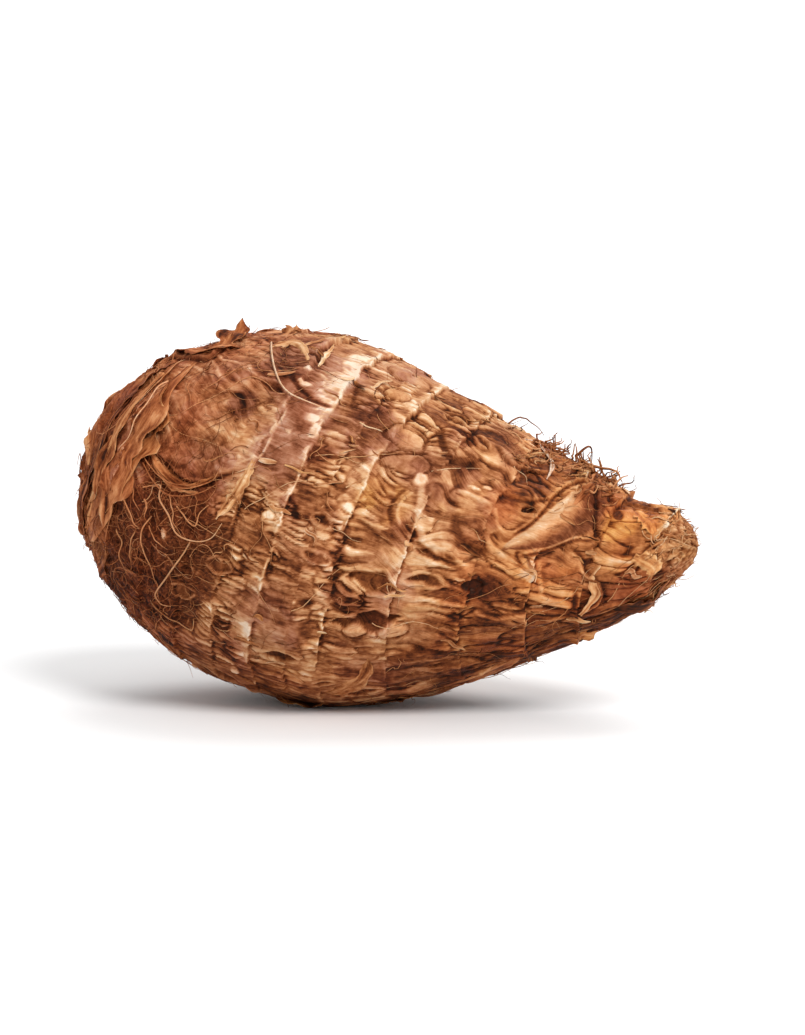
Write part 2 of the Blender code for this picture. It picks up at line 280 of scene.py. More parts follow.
# Marks on the skin: arc in mm, angle in degrees, half length and half width in mm, tilt in degrees, kind.
EYE, HOLE, PLATE, DOT, BALL, SCAR = range(6)
MARKS = [
    (101.4, -10.0, 6.4, 2.3, -12, EYE),
    (101.9, -26.0, 8.4, 2.4, 0, EYE),
    (99.9, -28.5, 2.6, 2.1, 0, BALL),
    (108.0, -29.5, 3.1, 2.3, 0, BALL),
    (113.3, 1.5, 6.0, 1.3, -14, EYE),
    (112.5, -9.0, 4.6, 1.3, -8, EYE),
    (122.9, -11.0, 2.8, 1.5, -4, HOLE),
    (127.4, -14.0, 3.0, 1.6, 0, SCAR),
    (146.7, 4.0, 1.7, 1.1, 0, SCAR),
    (128.6, 32.5, 1.5, 0.8, 20, HOLE),
    (148.8, 52.0, 2.1, 1.3, -40, SCAR),
    (95.7, 46.0, 4.9, 2.6, -6, PLATE),
    (98.2, 36.0, 5.0, 2.6, -4, PLATE),
    (86.0, 84.0, 4.8, 3.0, 10, PLATE),
    (87.5, 66.0, 3.2, 2.2, 0, PLATE),
    (101.7, 68.0, 3.4, 1.8, -20, EYE),
    (106.1, 79.0, 2.8, 1.7, -15, EYE),
    (110.5, 62.0, 3.0, 1.0, -25, EYE),
    (65.5, 70.0, 6.0, 1.3, -22, EYE),
    (62.5, 51.0, 4.4, 1.2, -24, EYE),
    (68.0, 60.5, 1.3, 1.2, 0, DOT),
    (69.3, 54.0, 2.2, 1.2, -15, DOT),
    (75.0, 8.5, 1.8, 1.2, -10, DOT),
    (51.7, -2.5, 1.7, 0.8, -55, DOT),
    (103.2, 31.0, 2.0, 1.9, 0, DOT),
    (115.3, 34.5, 2.2, 0.6, -8, DOT),
    (117.8, 36.5, 1.5, 0.7, 0, DOT),
    (59.5, -22.0, 3.6, 1.5, -8, EYE),
    (70.5, -27.0, 3.0, 1.2, -10, EYE),
    (84.5, -41.0, 4.4, 1.6, -6, EYE),
    (67.3, -9.5, 3.4, 1.5, -8, EYE),
    (77.5, 2.5, 3.0, 0.9, -14, EYE),
    (88.0, -3.0, 4.0, 1.2, -12, EYE),
    (86.5, 9.0, 3.0, 1.1, -16, EYE),
]
# The side with the marks that are placed one by one, in degrees.
FRONT_FROM, FRONT_TO = -52.0, 92.0
# The scattered marks: kind, how many are tried, between which arcs in mm, half length in mm, and half width as
# a share of that. They keep clear of each other along the arc or round the corm.
SCATTERED = (
    (EYE, 46, (48, 146), (2.2, 7.0), (0.24, 0.42)),
    (HOLE, 12, (60, 140), (1.2, 2.6), (0.45, 0.7)),
    (PLATE, 17, (74, 124), (2.6, 5.2), (0.42, 0.66)),
    (DOT, 34, (56, 112), (0.9, 2.0), (0.55, 0.9)),
    (SCAR, 12, (100, 150), (1.2, 2.6), (0.24, 0.42)),
)
CLEAR_MM, CLEAR_DEGREES = 4.5, 10


def scattered_marks():
    """More of the same marks over the sides that face away."""
    draw = np.random.default_rng(71)
    found = []
    for kind, count, arcs, lengths, slenderness in SCATTERED:
        for _ in range(count):
            at, turn = draw.uniform(*arcs), draw.uniform(-180.0, 180.0)
            half_long = draw.uniform(*lengths)
            half_wide = half_long * draw.uniform(*slenderness)
            tilt = draw.normal(-6.0, 12.0)
            clear = all(
                abs(at - other[0]) > CLEAR_MM or abs((turn - other[1] + 180) % 360 - 180) > CLEAR_DEGREES
                for other in MARKS + found
            )
            if clear and not FRONT_FROM < turn < FRONT_TO:
                found.append((at, turn, half_long, half_wide, tilt, kind))
    return found


MARKS += scattered_marks()


def marked(arc_mm, angle, r_mm, wobble):
    """What the marks do: how far they push the strips aside, lift in mm, tone and its weight, and calm."""
    push, lift, tone, weight, calm = (np.zeros(arc_mm.shape) for _ in range(5))
    for at, turn, half_long, half_wide, tilt, kind in MARKS:
        along = arc_mm - at
        around = round_from(math.radians(turn), angle) * r_mm
        near = np.nonzero((np.abs(along) < half_long + 5) & (np.abs(around) < half_long + 6))
        if not near[0].size:
            continue
        way = math.radians(tilt)
        long = along[near] * math.cos(way) + around[near] * math.sin(way)
        wide = around[near] * math.cos(way) - along[near] * math.sin(way)
        ripple = wobble[near]
        if kind == EYE:
            wide = wide + 0.35 * half_wide * (1.6 * ripple - 0.5 * (1 - (long / half_long) ** 2))
        lens = half_wide * np.maximum(0.0, 1 - (long / half_long) ** 2)
        oval = 1 - np.hypot(long / half_long, wide / half_wide) + 0.16 * ripple
        off = np.abs(wide)
        aside = np.where(off < lens, off, lens * np.exp(-(off - lens) / (1.1 * half_wide)))
        push[near] += np.sign(wide) * aside * math.cos(way)
        if kind == EYE:
            depth = lens - off + 0.14 * ripple - 0.8 * np.maximum(0, np.abs(long) / half_long - 1)
            inside = between(depth, 0.0, 0.62)
            rim = between(np.abs(depth + 0.25), 0.62, 0.0)
            rim *= between(np.abs(long), half_long * 1.08, half_long * 0.8)
            lift[near] += 0.24 * rim - 0.60 * inside * min(half_wide / 1.6, 1.1)
            # The eye's hollow is dark: partly the husk's dark under layer, partly painted shade.
            set_tone = mix(0.74, 0.16 + 0.16 * ripple, between(depth, 0.05, 0.5))
            counts = np.maximum(0.90 * inside, 0.55 * rim)
        elif kind == HOLE:
            inside = between(oval, 0.0, 0.25)
            lift[near] += 0.15 * between(np.abs(oval), 0.2, 0.0) - 0.9 * inside
            # The hole is painted shade, black.
            set_tone, counts = 0.0, inside
        elif kind == PLATE:
            edge = (np.abs(long / half_long) ** 3 + np.abs(wide / half_wide) ** 3) ** (1 / 3) + 0.30 * ripple
            inside, crease = between(edge, 1.02, 0.86), between(np.abs(edge - 1.04), 0.13, 0.02)
            lift[near] += 0.26 * inside - 0.34 * crease
            # The crease round a plate is partly its dark outline, partly painted shade.
            set_tone = np.where(crease > 0.3, 0.14, 0.50)
            counts = np.maximum(0.35 * inside, 0.70 * crease)
            calm[near] = np.maximum(calm[near], 0.8 * inside)
        elif kind == SCAR:
            inside = between(oval, 0.0, 0.35)
            lift[near] -= 0.12 * inside
            set_tone, counts = 0.13, 0.95 * inside
        else:
            height, light = (0.34, 0.95) if kind == DOT else (0.85, 0.64)
            inside = between(oval, 0.0, 0.45)
            round_it = between(np.abs(oval + 0.05), 0.17, 0.03) * (kind == BALL)
            lift[near] += height * inside - 0.3 * round_it
            # The groove round a ball is darkened with painted shade.
            set_tone = np.where(round_it > 0.3, 0.20, light)
            counts = np.maximum(0.9 * inside, 0.8 * round_it)
            calm[near] = np.maximum(calm[near], 0.8 * inside)
        tone[near] = mix(tone[near], set_tone, counts)
        weight[near] = np.maximum(weight[near], counts)
    return push, lift, tone / np.maximum(weight, 1e-6), weight, calm


# Long edges on the skin: kind, the side of a fold that lies on top (1 is to the left of the path), half width
# and lift in mm, tone, strength, and the path's places as (arc in mm, angle in degrees).
FOLD, CREASE, RIM = range(3)
CURVES = [
    (FOLD, 1, 0.9, 0.7, 0.68, 1.0, (126.9, 14.5), (129.9, 21.5), (131.6, 31), (132.6, 46), (133.8, 60),
        (135.8, 75.5), (138.5, 82.5)),
    (CREASE, 1, 0.5, 0.7, 0.04, 1.0, (138.6, 84), (140.5, 68), (142.7, 53), (145.0, 34.5), (146.9, 19)),
    (FOLD, 1, 0.5, 0.35, 0.82, 0.9, (130.0, 5.0), (135.6, 9), (139.3, 15), (142.5, 20.5), (147.2, 22)),
    (FOLD, -1, 0.6, 0.7, 0.80, 1.0, (141, 13), (144.2, 6.5), (147.4, -6.5), (151.1, -18.5), (152.1, -31.5),
        (149.7, -38), (147.2, -42)),
    (RIM, 1, 0.40, 0.35, 0.84, 0.8, (121.8, 29), (122.2, 26.5), (124.4, 19.5), (127.2, 16)),
    (CREASE, 1, 0.9, 0.5, 0.17, 0.9, (113.5, 22), (114.5, 18), (116.8, 10.5), (120.7, 6), (125.5, 5)),
    (CREASE, 1, 0.9, 0.6, 0.10, 0.9, (100.5, 58), (102.4, 52.5), (106.1, 45.5), (109.8, 45), (113.3, 48.5)),
    (RIM, 1, 0.45, 0.40, 0.84, 0.8, (111, 31), (116.5, 30), (121.5, 28.3)),
    (RIM, 1, 0.45, 0.30, 0.78, 0.8, (135.9, 4), (137.3, -8.5), (138.5, -20)),
    (FOLD, -1, 0.6, 0.6, 0.78, 0.9, (158.2, -16), (159.6, -8.5), (159.8, 8), (161.8, 20.5), (163.5, 27)),
    (FOLD, 1, 0.8, 0.9, 0.52, 1.0, (37, 20), (40.5, 25), (44.5, 24), (50.5, 18), (57.6, 15.5), (61.8, 19),
        (67.5, 21.8)),
    (RIM, 1, 0.30, 0.25, 0.84, 0.9, (68.4, 46), (68.3, 37), (68.3, 29.5), (67.0, 24.5), (63.5, 22)),
    (CREASE, 1, 0.5, 0.4, 0.10, 0.9, (62.5, 63), (67, 54), (72.5, 48.5), (78, 47)),
    (FOLD, 1, 0.8, 0.9, 0.50, 1.0, (30, 84), (38.3, 71.5), (44.5, 66), (47.5, 73)),
    (RIM, 1, 0.75, 0.30, 0.86, 0.8, (103.0, 33), (105.4, 23), (106.6, 15.5), (108.4, 10), (112.1, 5.5),
        (117, 2)),
    (CREASE, 1, 0.5, 0.4, 0.12, 0.9, (101.5, 27), (99.9, 21), (99.9, 16.5), (102.2, 10.5)),
    (RIM, 1, 0.35, 0.4, 0.82, 0.8, (103, 26), (101.7, 21), (101.6, 16.5), (103.6, 11)),
    (CREASE, 1, 0.35, 0.35, 0.12, 1.0, (91.5, 34), (94.5, 38), (98.5, 40.5), (102.4, 43)),
    (CREASE, 1, 0.45, 0.5, 0.10, 0.8, (78.8, 64), (79.6, 57), (81.0, 50)),
    (CREASE, 1, 0.45, 0.4, 0.14, 0.8, (80.2, 51), (83.5, 55), (88.6, 56.5), (91, 60)),
    (FOLD, 1, 0.5, 0.45, 0.74, 0.9, (107.8, 8), (113, 2.5), (118.5, -0.5)),
    (FOLD, 1, 0.5, 0.40, 0.66, 0.8, (93.5, 12), (98.5, 8.5), (104.5, 3.5)),
    (FOLD, 1, 0.6, 0.6, 0.60, 0.9, (116, 43), (122, 37), (128, 38), (133, 45)),
    (FOLD, 1, 0.7, 0.7, 0.62, 0.9, (113, 66), (119, 58), (125, 60), (131, 70)),
    (FOLD, -1, 0.6, 0.6, 0.60, 0.9, (124, -22), (130, -28), (137, -27), (144, -33)),
]


def radius_mm(arc_mm, angle):
    return np.maximum(np.interp(leaned_arc(arc_mm * MM, angle), ARC, RADIUS) / MM, 4.0)


def walked(arc_mm, turn, way, bend, length):
    """Four places over the skin from (arc_mm, turn) on, on a heading that bends at each step, in degrees."""
    path = [(arc_mm, turn)]
    step = length / 3
    for _ in range(3):
        around = float(radius_mm(np.array(arc_mm), math.radians(turn)))
        turn += math.degrees(step * math.sin(math.radians(way)) / around)
        arc_mm = max(arc_mm + step * math.cos(math.radians(way)), 5.0)
        path.append((arc_mm, turn))
        way += bend
    return path


def scattered_curves():
    """Folds like those over the sides that face away and the underside."""
    draw = np.random.default_rng(91)
    found = []
    for k in range(46):
        at = draw.uniform(100, 156) if k % 3 else draw.uniform(28, 96)
        turn, way, bend = draw.uniform(-180, 180), draw.normal(-8, 34), draw.normal(0, 26)
        if FRONT_FROM + 8 < turn < FRONT_TO - 4:
            continue
        path = walked(at, turn, way, bend, draw.uniform(6, 15))
        if path[-1][0] < 164:
            kind = int(draw.choice((FOLD, FOLD, CREASE, RIM)))
            light = {FOLD: draw.uniform(0.5, 0.8), CREASE: 0.10, RIM: 0.82}[kind]
            half = draw.uniform(0.35, 0.8)
            found.append((kind, int(draw.choice((-1, 1))), half, draw.uniform(0.3, 0.7), light, 0.85, *path))
    return found


CURVES += scattered_curves()


def smooth_path(points, steps):
    """Places along a smooth curve through the given ones."""
    points = np.asarray(points, float)
    spots = np.linspace(0, len(points) - 1, steps)
    k = np.minimum(spots.astype(int), len(points) - 2)
    t = (spots - k)[:, None]
    padded = np.concatenate(([2 * points[0] - points[1]], points, [2 * points[-1] - points[-2]]))
    a, b, c, d = padded[k], padded[k + 1], padded[k + 2], padded[k + 3]
    return 0.5 * (2 * b + (c - a) * t + (2 * a - 5 * b + 4 * c - d) * t**2 + (3 * b - 3 * c + d - a) * t**3)


# The large smooth scale on the neck: its middle line, half widths in mm along it.
SCALE_PATH = ((127.5, 9), (131.5, 15), (135.5, 23), (138.3, 32), (140.0, 43), (139.8, 60), (139.0, 76))
SCALE_HALF = (0.6, 2.6, 4.4, 5.4, 5.6, 4.4, 1.0)


def beside(path, arc_mm, angle, r_mm, reach):
    """Places within reach mm of a path: their indices, share along it and how far they lie to its left."""
    line = smooth_path(path, 20)
    middle = math.radians(line[:, 1].mean())
    line_r = radius_mm(line[:, 0], np.radians(line[:, 1]))
    line_y = (np.radians(line[:, 1]) - middle) * line_r
    around = round_from(middle, angle) * r_mm
    inside = (arc_mm > line[:, 0].min() - reach) & (arc_mm < line[:, 0].max() + reach)
    near = np.nonzero(inside & (around > line_y.min() - reach) & (around < line_y.max() + reach))
    x, y = arc_mm[near], around[near]
    best, share, aside = np.full(x.shape, 1e9), np.zeros(x.shape), np.zeros(x.shape)
    for k in range(len(line) - 1):
        dx, dy = line[k + 1, 0] - line[k, 0], line_y[k + 1] - line_y[k]
        size = max(math.hypot(dx, dy), 1e-6)
        px, py = x - line[k, 0], y - line_y[k]
        t = np.clip((px * dx + py * dy) / size**2, 0.0, 1.0)
        away = np.hypot(px - t * dx, py - t * dy)
        closer = away < best
        best = np.where(closer, away, best)
        share = np.where(closer, (k + t) / (len(line) - 1), share)
        aside = np.where(closer, np.where(dx * py - dy * px > 0, away, -away), aside)
    return near, share, aside


def curved(arc_mm, angle, r_mm, wobble):
    """What the long edges do: their lift in mm, tone and how much it counts."""
    lift, tone, weight = (np.zeros(arc_mm.shape) for _ in range(3))
    for kind, side, half, raised, light, strength, *path in CURVES:
        near, share, aside = beside(path, arc_mm, angle, r_mm, 7.0)
        if not near[0].size:
            continue
        aside = aside * side + 0.30 * wobble[near]
        fade = between(share, 0.0, 0.12) * between(share, 1.0, 0.86) * strength * (1 - 0.3 * wobble[near])
        fade *= between(np.abs(aside), 6.5, 3.0)
        if kind == FOLD:
            over = raised * np.exp(-np.maximum(aside, 0) / 2.0)
            below = -0.55 * raised * np.exp(np.minimum(aside, 0) / 0.8)
            on_top = between(aside, -0.30, 0.30)
            lift[near] += fade * mix(below, over, on_top)
            rim = between(aside, half + 0.2, 0.3 * half) * 0.65
            # The low side past a fold's edge gets painted shadow, tone 0.07.
            shade = between(aside, -1.2, -0.35) * 0.85
            set_tone, counts = mix(0.07, light, on_top), mix(shade, rim, on_top) * fade
        else:
            close = np.exp(-((aside / half) ** 2))
            lift[near] += fade * raised * close * (1 if kind == RIM else -1)
            # A crease's dark tone is partly the husk's own dark line, partly painted shade in its groove.
            set_tone, counts = light, 0.9 * fade * between(np.abs(aside), 1.5 * half, 0.5 * half)
        tone[near] = mix(tone[near], set_tone, counts)
        weight[near] = np.maximum(weight[near], counts)
    return lift, tone / np.maximum(weight, 1e-6), weight


def scaled(arc_mm, angle, r_mm, wobble):
    """The large scale on the neck: how much a place lies in it, its bulge in mm and its tone."""
    inside, bulge, tone = (np.zeros(arc_mm.shape) for _ in range(3))
    near, share, aside = beside(SCALE_PATH, arc_mm, angle, r_mm, 8.0)
    half = np.interp(share, np.linspace(0, 1, len(SCALE_HALF)), SCALE_HALF)
    across = aside / half
    inside[near] = between(np.abs(across) + 0.08 * wobble[near], 1.02, 0.90)
    bulge[near] = 0.9 * np.maximum(0, 1 - across**2) + 0.30 * np.sin(across * 5.0 + 0.8)
    tone[near] = mix(0.26, 0.76, between(across + 0.45 - 0.9 * share, -0.55, 0.55))
    return inside, bulge, tone


# Soft patches: arc in mm, angle in degrees, half size along in mm and around in degrees; the tone, hue and calm
# that they add.
PATCHES = (
    (71.0, 44.0, 8.0, 22.0, -0.07, -0.8, 0.9),
    (64.0, 68.0, 9.0, 12.0, -0.16, -1.0, 0.6),
    (58.6, 43.0, 3.6, 5.0, -0.15, -1.0, 0.9),
    (41.0, 47.0, 5.0, 8.0, 0.05, 0.3, 0.9),
    (86.0, 43.0, 6.0, 12.0, -0.08, -0.7, 0.4),
    (98.0, 20.0, 6.5, 9.0, 0.25, 1.0, 0.0),
    (97.0, 41.0, 6.0, 10.0, 0.0, -0.4, 0.4),
    (43.0, 28.0, 8.0, 14.0, -0.04, 0.2, 0.3),
    (127.0, -14.0, 6.0, 9.0, -0.16, -0.5, 0.2),
    (125.0, 55.0, 9.0, 16.0, -0.08, -0.3, 0.0),
    (153.0, 40.0, 8.0, 45.0, 0.01, 0.3, 0.5),
    (138.0, 42.0, 7.0, 22.0, 0.04, 0.2, 0.3),
    # A painted highlight: the shoulder's upper edge made paler, as where light wraps round it.
    (86.0, 82.0, 12.0, 20.0, 0.13, -0.1, 0.2),
    (74.0, 66.0, 4.5, 12.0, 0.24, -0.2, 0.7),
    (75.6, 51.0, 3.0, 9.0, 0.24, -0.1, 0.6),
    (97.2, 14.5, 2.4, 3.6, -0.26, -0.8, 0.5),
    (84.0, 52.0, 5.0, 6.0, -0.12, -0.5, 0.4),
    (111.0, 6.0, 6.0, 26.0, 0.05, 0.1, 0.1),
    (119.0, 14.0, 5.0, 8.0, -0.14, -0.2, 0.4),
    (144.0, 35.0, 3.0, 12.0, -0.12, -0.7, 0.4),
    (151.0, 37.0, 4.6, 17.0, 0.15, 1.0, 0.7),
    (153.5, 15.0, 4.5, 12.0, -0.12, -0.1, 0.6),
    (157.0, -26.0, 6.0, 18.0, -0.02, -0.9, 0.8),
    (98.0, -52.0, 26.0, 14.0, 0.04, 0.1, 0.3),
    (75.0, 160.0, 14.0, 30.0, -0.08, -0.7, 0.6),
    (100.0, 190.0, 12.0, 25.0, 0.03, 0.5, 0.1),
    (92.0, 125.0, 10.0, 20.0, -0.06, -0.5, 0.4),
    (118.0, 150.0, 8.0, 24.0, 0.05, 0.6, 0.1),
)


# Zones of the corm, from where one begins to where it is full, or the other way round: in mm of arc, and for
# the underside as the sine of the angle.
NECK_ZONE = (110, 126)
SHOULDER_START, SHOULDER_END = (92, 104), (138, 150)
STUB_ZONE = (163.5, 165.5)
BASE_ZONE = (26, 40)
POLE_ZONE = (5.0, 10.5)
PAPERY_START, PAPERY_END = (22, 34), (68, 58)
UNDER_ZONE = (-0.40, -0.85)
RUST_ZONE = (42, 74)
# The matted patch: its middle in mm and degrees, its half size, and where more of it round the base starts
# and ends.
MAT_AT, MAT_HALF = (50, -10), (17.5, 33)
MAT_START, MAT_END = (14, 26), (38, 58)
COLLAR_AT, COLLAR_HALF = 161.5, 2.3
# How far apart the swells of the noise lie, and how wide a strip's border is, in mm.
WIDE_MM, MID_MM, FINE_MM, TINY_MM = 19, 8.5, 3.6, 1.5
BORDER_MM = 0.48
# How the fibres of the papery husk slant round the corm.
SWIRL_SLANT, SWIRL_MM = 0.8, 38


def patched(arc_mm, angle, wobble):
    """What the soft patches add: tone, hue and calm."""
    tone, hue, calm = (np.zeros(arc_mm.shape) for _ in range(3))
    for at, turn, half_along, half_around, add_tone, add_hue, add_calm in PATCHES:
        away = round_from(math.radians(turn), angle) / math.radians(half_around)
        inside = between(np.hypot((arc_mm - at) / half_along, away) + 0.35 * wobble, 1.25, 0.55)
        tone += add_tone * inside
        hue += add_hue * inside
        calm = np.maximum(calm, add_calm * inside)
    return tone, hue, calm


def rolled(along, angle, radius):
    """Places on a roll of that radius, for patterns that run round the corm without a seam."""
    return np.stack((along, np.cos(angle) * radius, np.sin(angle) * radius), axis=-1)


def husk(arc, angle):
    """The husk at places on the skin: plain points and normals, lift in metres, and what the finish reads.

    Tone runs from 0, the darkest hollows, to 1, the cream of dry torn edges. Hue runs from -1, plum, to 1,
    ochre. Each weight below says how much its pattern adds, in mm of lift or in tone.
    """
    plain, normal, r = skin(arc, angle)
    r_mm = np.maximum(r / MM, 1.5)
    place = plain / MM
    arc_mm, leaned = arc / MM, leaned_arc(arc, angle) / MM
    height = np.sin(angle)

    wide_a, wide_b, wide_c = (perlin(place, 1 / WIDE_MM, shift) for shift in (0.0, 31.7, 64.3))
    mid_a, mid_b, mid_c = (perlin(place, 1 / MID_MM, shift) for shift in (11.1, 57.3, 83.9))
    fine_a, fine_b = (perlin(place, 1 / FINE_MM, shift) for shift in (15.5, 41.9))
    tiny = perlin(place, 1 / TINY_MM, 201.0)

    neck = between(arc_mm, *NECK_ZONE)
    shoulder = between(arc_mm, *SHOULDER_START) * (1 - between(arc_mm, *SHOULDER_END))
    stub = between(arc_mm + 1.2 * mid_a, *STUB_ZONE)
    base = 1 - between(arc_mm + 5 * wide_a, *BASE_ZONE)
    # The underside: its husk is calmer, and further on its tone is lowered by painted shade.
    under = between(height, *UNDER_ZONE) * (1 - 0.4 * neck)

    # The matted patch at the lower front of the base, and more of it all round.
    mat_along, mat_around = arc_mm - MAT_AT[0], np.degrees(round_from(0.0, angle)) - MAT_AT[1]
    mat_gap = np.hypot(mat_along / MAT_HALF[0], mat_around / MAT_HALF[1])
    mat = between(mat_gap + 0.22 * mid_b + 0.10 * fine_b, 1.12, 0.86)
    mat = np.maximum(mat, 0.9 * (1 - between(arc_mm, *MAT_END)) * between(wide_c + 0.35 * mid_c, 0.10, 0.34))
    mat *= between(arc_mm, *MAT_START)

    # The old scar in the middle of the base.
    pole = 1 - between(arc_mm + 2.2 * mid_b + 1.2 * fine_b, *POLE_ZONE)

    # The husk round the base is papery: fibres that swirl, without strips.
    papery = between(arc_mm + 5 * wide_a + 2.5 * mid_a, *PAPERY_END)
    papery *= between(height + 0.25 * mid_b, -0.45, -0.05) * between(arc_mm, *PAPERY_START)

    push, mark_lift, mark_tone, mark_weight, calm = marked(arc_mm, angle, r_mm, fine_a)
    curve_lift, curve_tone, curve_weight = curved(arc_mm, angle, r_mm, fine_b)
    in_scale, scale_bulge, scale_tone = scaled(arc_mm, angle, r_mm, fine_b)
    patch_tone, patch_hue, patch_calm = patched(arc_mm, angle, mid_c)
    calm = np.maximum(calm, patch_calm)
    calm = np.maximum(calm, 0.75 * between(wide_c, 0.22, 0.42) * (1 - base))
    calm = np.maximum(calm, np.maximum(np.maximum(0.93 * papery, in_scale), 0.85 * base))

    # Ring lines wander a little, and the strips' ends leave them ragged.
    torn = 0.25 * tiny + 1.6 * np.maximum(fine_b - 0.30, 0) * between(mid_a, -0.1, 0.3)
    drawn = arc_mm + 1.1 * wide_a + 0.8 * mid_a + 0.45 * fine_a + 0.15 * tiny
    drawn -= torn * mix(0.8, 2.2, neck) * (1 - 0.5 * under)
    band = np.searchsorted(RINGS_MM, drawn)
    start, end = BAND_STARTS_MM[band], BAND_ENDS_MM[band]
    from_foot, to_lip = np.maximum(drawn - start, 0.0), np.maximum(end - drawn, 0.0)
    into = np.clip(from_foot / (end - start), 0.0, 1.0)

    # Where a place lies across the strips, which part round the marks and swirl on the shoulder.
    swirl = shoulder * (0.3 + 0.7 * between(height, -0.3, 0.3))
    shift_mm = 1.7 * wide_b + 1.1 * mid_b + 0.42 * fine_b + swirl * (2.6 * mid_c + 1.5 * wide_c) - push
    turned = angle + RING_LEAN * np.cos(angle) * np.interp(leaned * MM, ARC, SLANT_TABLE) + shift_mm / r_mm
    turn = np.mod(turned / math.tau, 1.0)
    count, rows = STRIP_COUNT[band], STRIP_ROWS[band]
    tall, wide = (end - start) / rows, math.tau * r_mm / count
    edge, own_a, own_b, own_u = cells(into * rows + 11.0 * band, turn * count, count, 0.8 * tall, wide, 3)
    # What each strip has of its own fades out towards its border, so that neighbours meet without a seam.
    whole = between(edge, 0.0, BORDER_MM)
    pick_a, pick_b = (own_a - 0.5) * whole, (own_b - 0.5) * whole

    # Fibres run along the strips. Near the base's pole they run round it.
    flow_radius = BAND_RADIUS_MM[band][..., None]
    outward = np.stack((np.cos(turned), np.sin(turned)), axis=-1) * flow_radius
    down_strip = leaned / 8.0 + band * 3.7 + own_a * 2.0
    lengthways = np.concatenate((down_strip[..., None], outward / 1.15), axis=-1)
    sway, drift = 5.0 * wide_b + 1.8 * mid_b + 0.5 * fine_a, 1.7 * mid_b + 2.4 * wide_c + 0.7 * fine_a
    round_the_pole = rolled(leaned + sway, angle, r_mm / 9)
    swirling = rolled(leaned / 10.0, angle + (SWIRL_SLANT * arc_mm + drift) / SWIRL_MM, 34)
    # The same without jumps, for the finer fibres of the finish.
    woven = turned + papery * (SWIRL_SLANT * (arc_mm - 60) + drift) / SWIRL_MM
    finish_flow = rolled(leaned * mix(0.125, 1.0, base) + base * sway, woven, mix(33.0, r_mm / 9, base))
    finish_flow = mix(finish_flow, place * 0.6, pole[..., None])

    def fibre_noise(scale, shift):
        in_strips = mix(perlin(lengthways, scale, shift) * whole, perlin(swirling, scale, shift), papery)
        return mix(in_strips, perlin(round_the_pole, scale, shift), base)

    fibre = fibre_noise(1.0, 0.0)
    fine_fibre = fibre_noise(np.array((1.3, 1.25, 1.25)), 19.0)
    coarse = fibre_noise(np.array((0.7, 0.45, 0.45)), 37.0)
    loud = (1 - 0.75 * calm) * (1 - 0.55 * under)

    line = between(edge, 0.50, 0.0) * (1 - 0.75 * neck)
    deep = between(edge, 0.85, 0.10) * between(mid_c + 1.0 * pick_b, -0.22, 0.22) * between(fine_a, -0.5, 0.1)
    slits = between(fine_fibre + 0.8 * fibre, 0.24, 0.60) * between(mid_a + 0.4 * pick_a, -0.15, 0.25) * whole
    crease = between(np.abs(coarse), 0.12, 0.0) * neck * (1 - stub) * whole

    # Lift, from the ring steps down to the fibres.
    rise = np.interp(into.ravel(), BAND_ROWS, BAND_LIFTS).reshape(into.shape) / MM
    size = np.minimum(1.0, (end - start) * MM / FULL_BAND)
    uneven = 0.35 + 0.9 * between(mid_a + 0.5 * wide_c, -0.5, 0.6)
    step_below = STEP[np.maximum(band - 1, 0)]
    stepped = np.where(rise > 0, STEP[band], step_below)
    lift_mm = 0.60 * rise * size * stepped * uneven * (1 - 0.5 * under)
    lift_mm += 0.8 * FOLD_LIFT / MM * look_up(FOLD_TABLE, band, angle)
    detail = 0.20 * (1 - np.exp(-edge / 0.40)) * (1 - 0.5 * neck)
    detail += 0.46 * pick_a * mix(1.0, 0.5, neck) - 0.34 * deep - 0.10 * line - 0.16 * slits
    detail += 0.08 * fibre + 0.05 * fine_fibre
    detail *= loud
    detail += papery * (0.10 * fibre + 0.06 * fine_fibre + 0.14 * coarse)
    detail += 0.24 * mid_b + 0.13 * fine_b + neck * 0.22 * mid_a - 0.45 * crease * (1 - in_scale)
    curled = 0.10 + 0.45 * between(fine_b + 0.4 * (own_b - 0.5), -0.1, 0.4)
    detail += between(to_lip, 1.2, 0.1) * curled * stepped
    bundles = np.abs(perlin(place, np.array((0.7, 0.3, 0.45)), 91.0))
    more_bundles = np.abs(perlin(place, np.array((0.25, 0.5, 0.8)), 92.0))
    detail = mix(detail, 0.35 * detail + 0.24 * (1 - 2 * bundles) + 0.22 * (1 - 2 * more_bundles) - 0.45, mat)
    frayed = perlin(place, np.array((0.6, 1.3, 1.3)), 95.0)
    scarred = perlin(place, 0.75, 96.0) + 0.6 * fine_a
    detail += base * (1 - mat) * mix(0.20 * fibre + 0.10 * coarse, 0.40 * scarred - 0.2, pole)
    collar = np.exp(-(((arc_mm + 0.8 * mid_b - COLLAR_AT) / COLLAR_HALF) ** 2))
    detail += collar * (0.65 + 0.6 * mid_a + 0.3 * fine_a) + stub * (0.5 * frayed + 0.2)
    detail = mix(detail, scale_bulge + 0.08 * fibre, in_scale) + mark_lift + curve_lift

    calm_pole = smooth(np.minimum(arc, SKIN_LENGTH - arc) / POLE_CALM)
    floor_calm = smooth((plain[..., 2] - FLOOR_CALM_FROM) / (FLOOR_CALM_TO - FLOOR_CALM_FROM))
    lift = (lift_mm + detail) * MM * floor_calm * mix(0.35, 1.0, calm_pole)

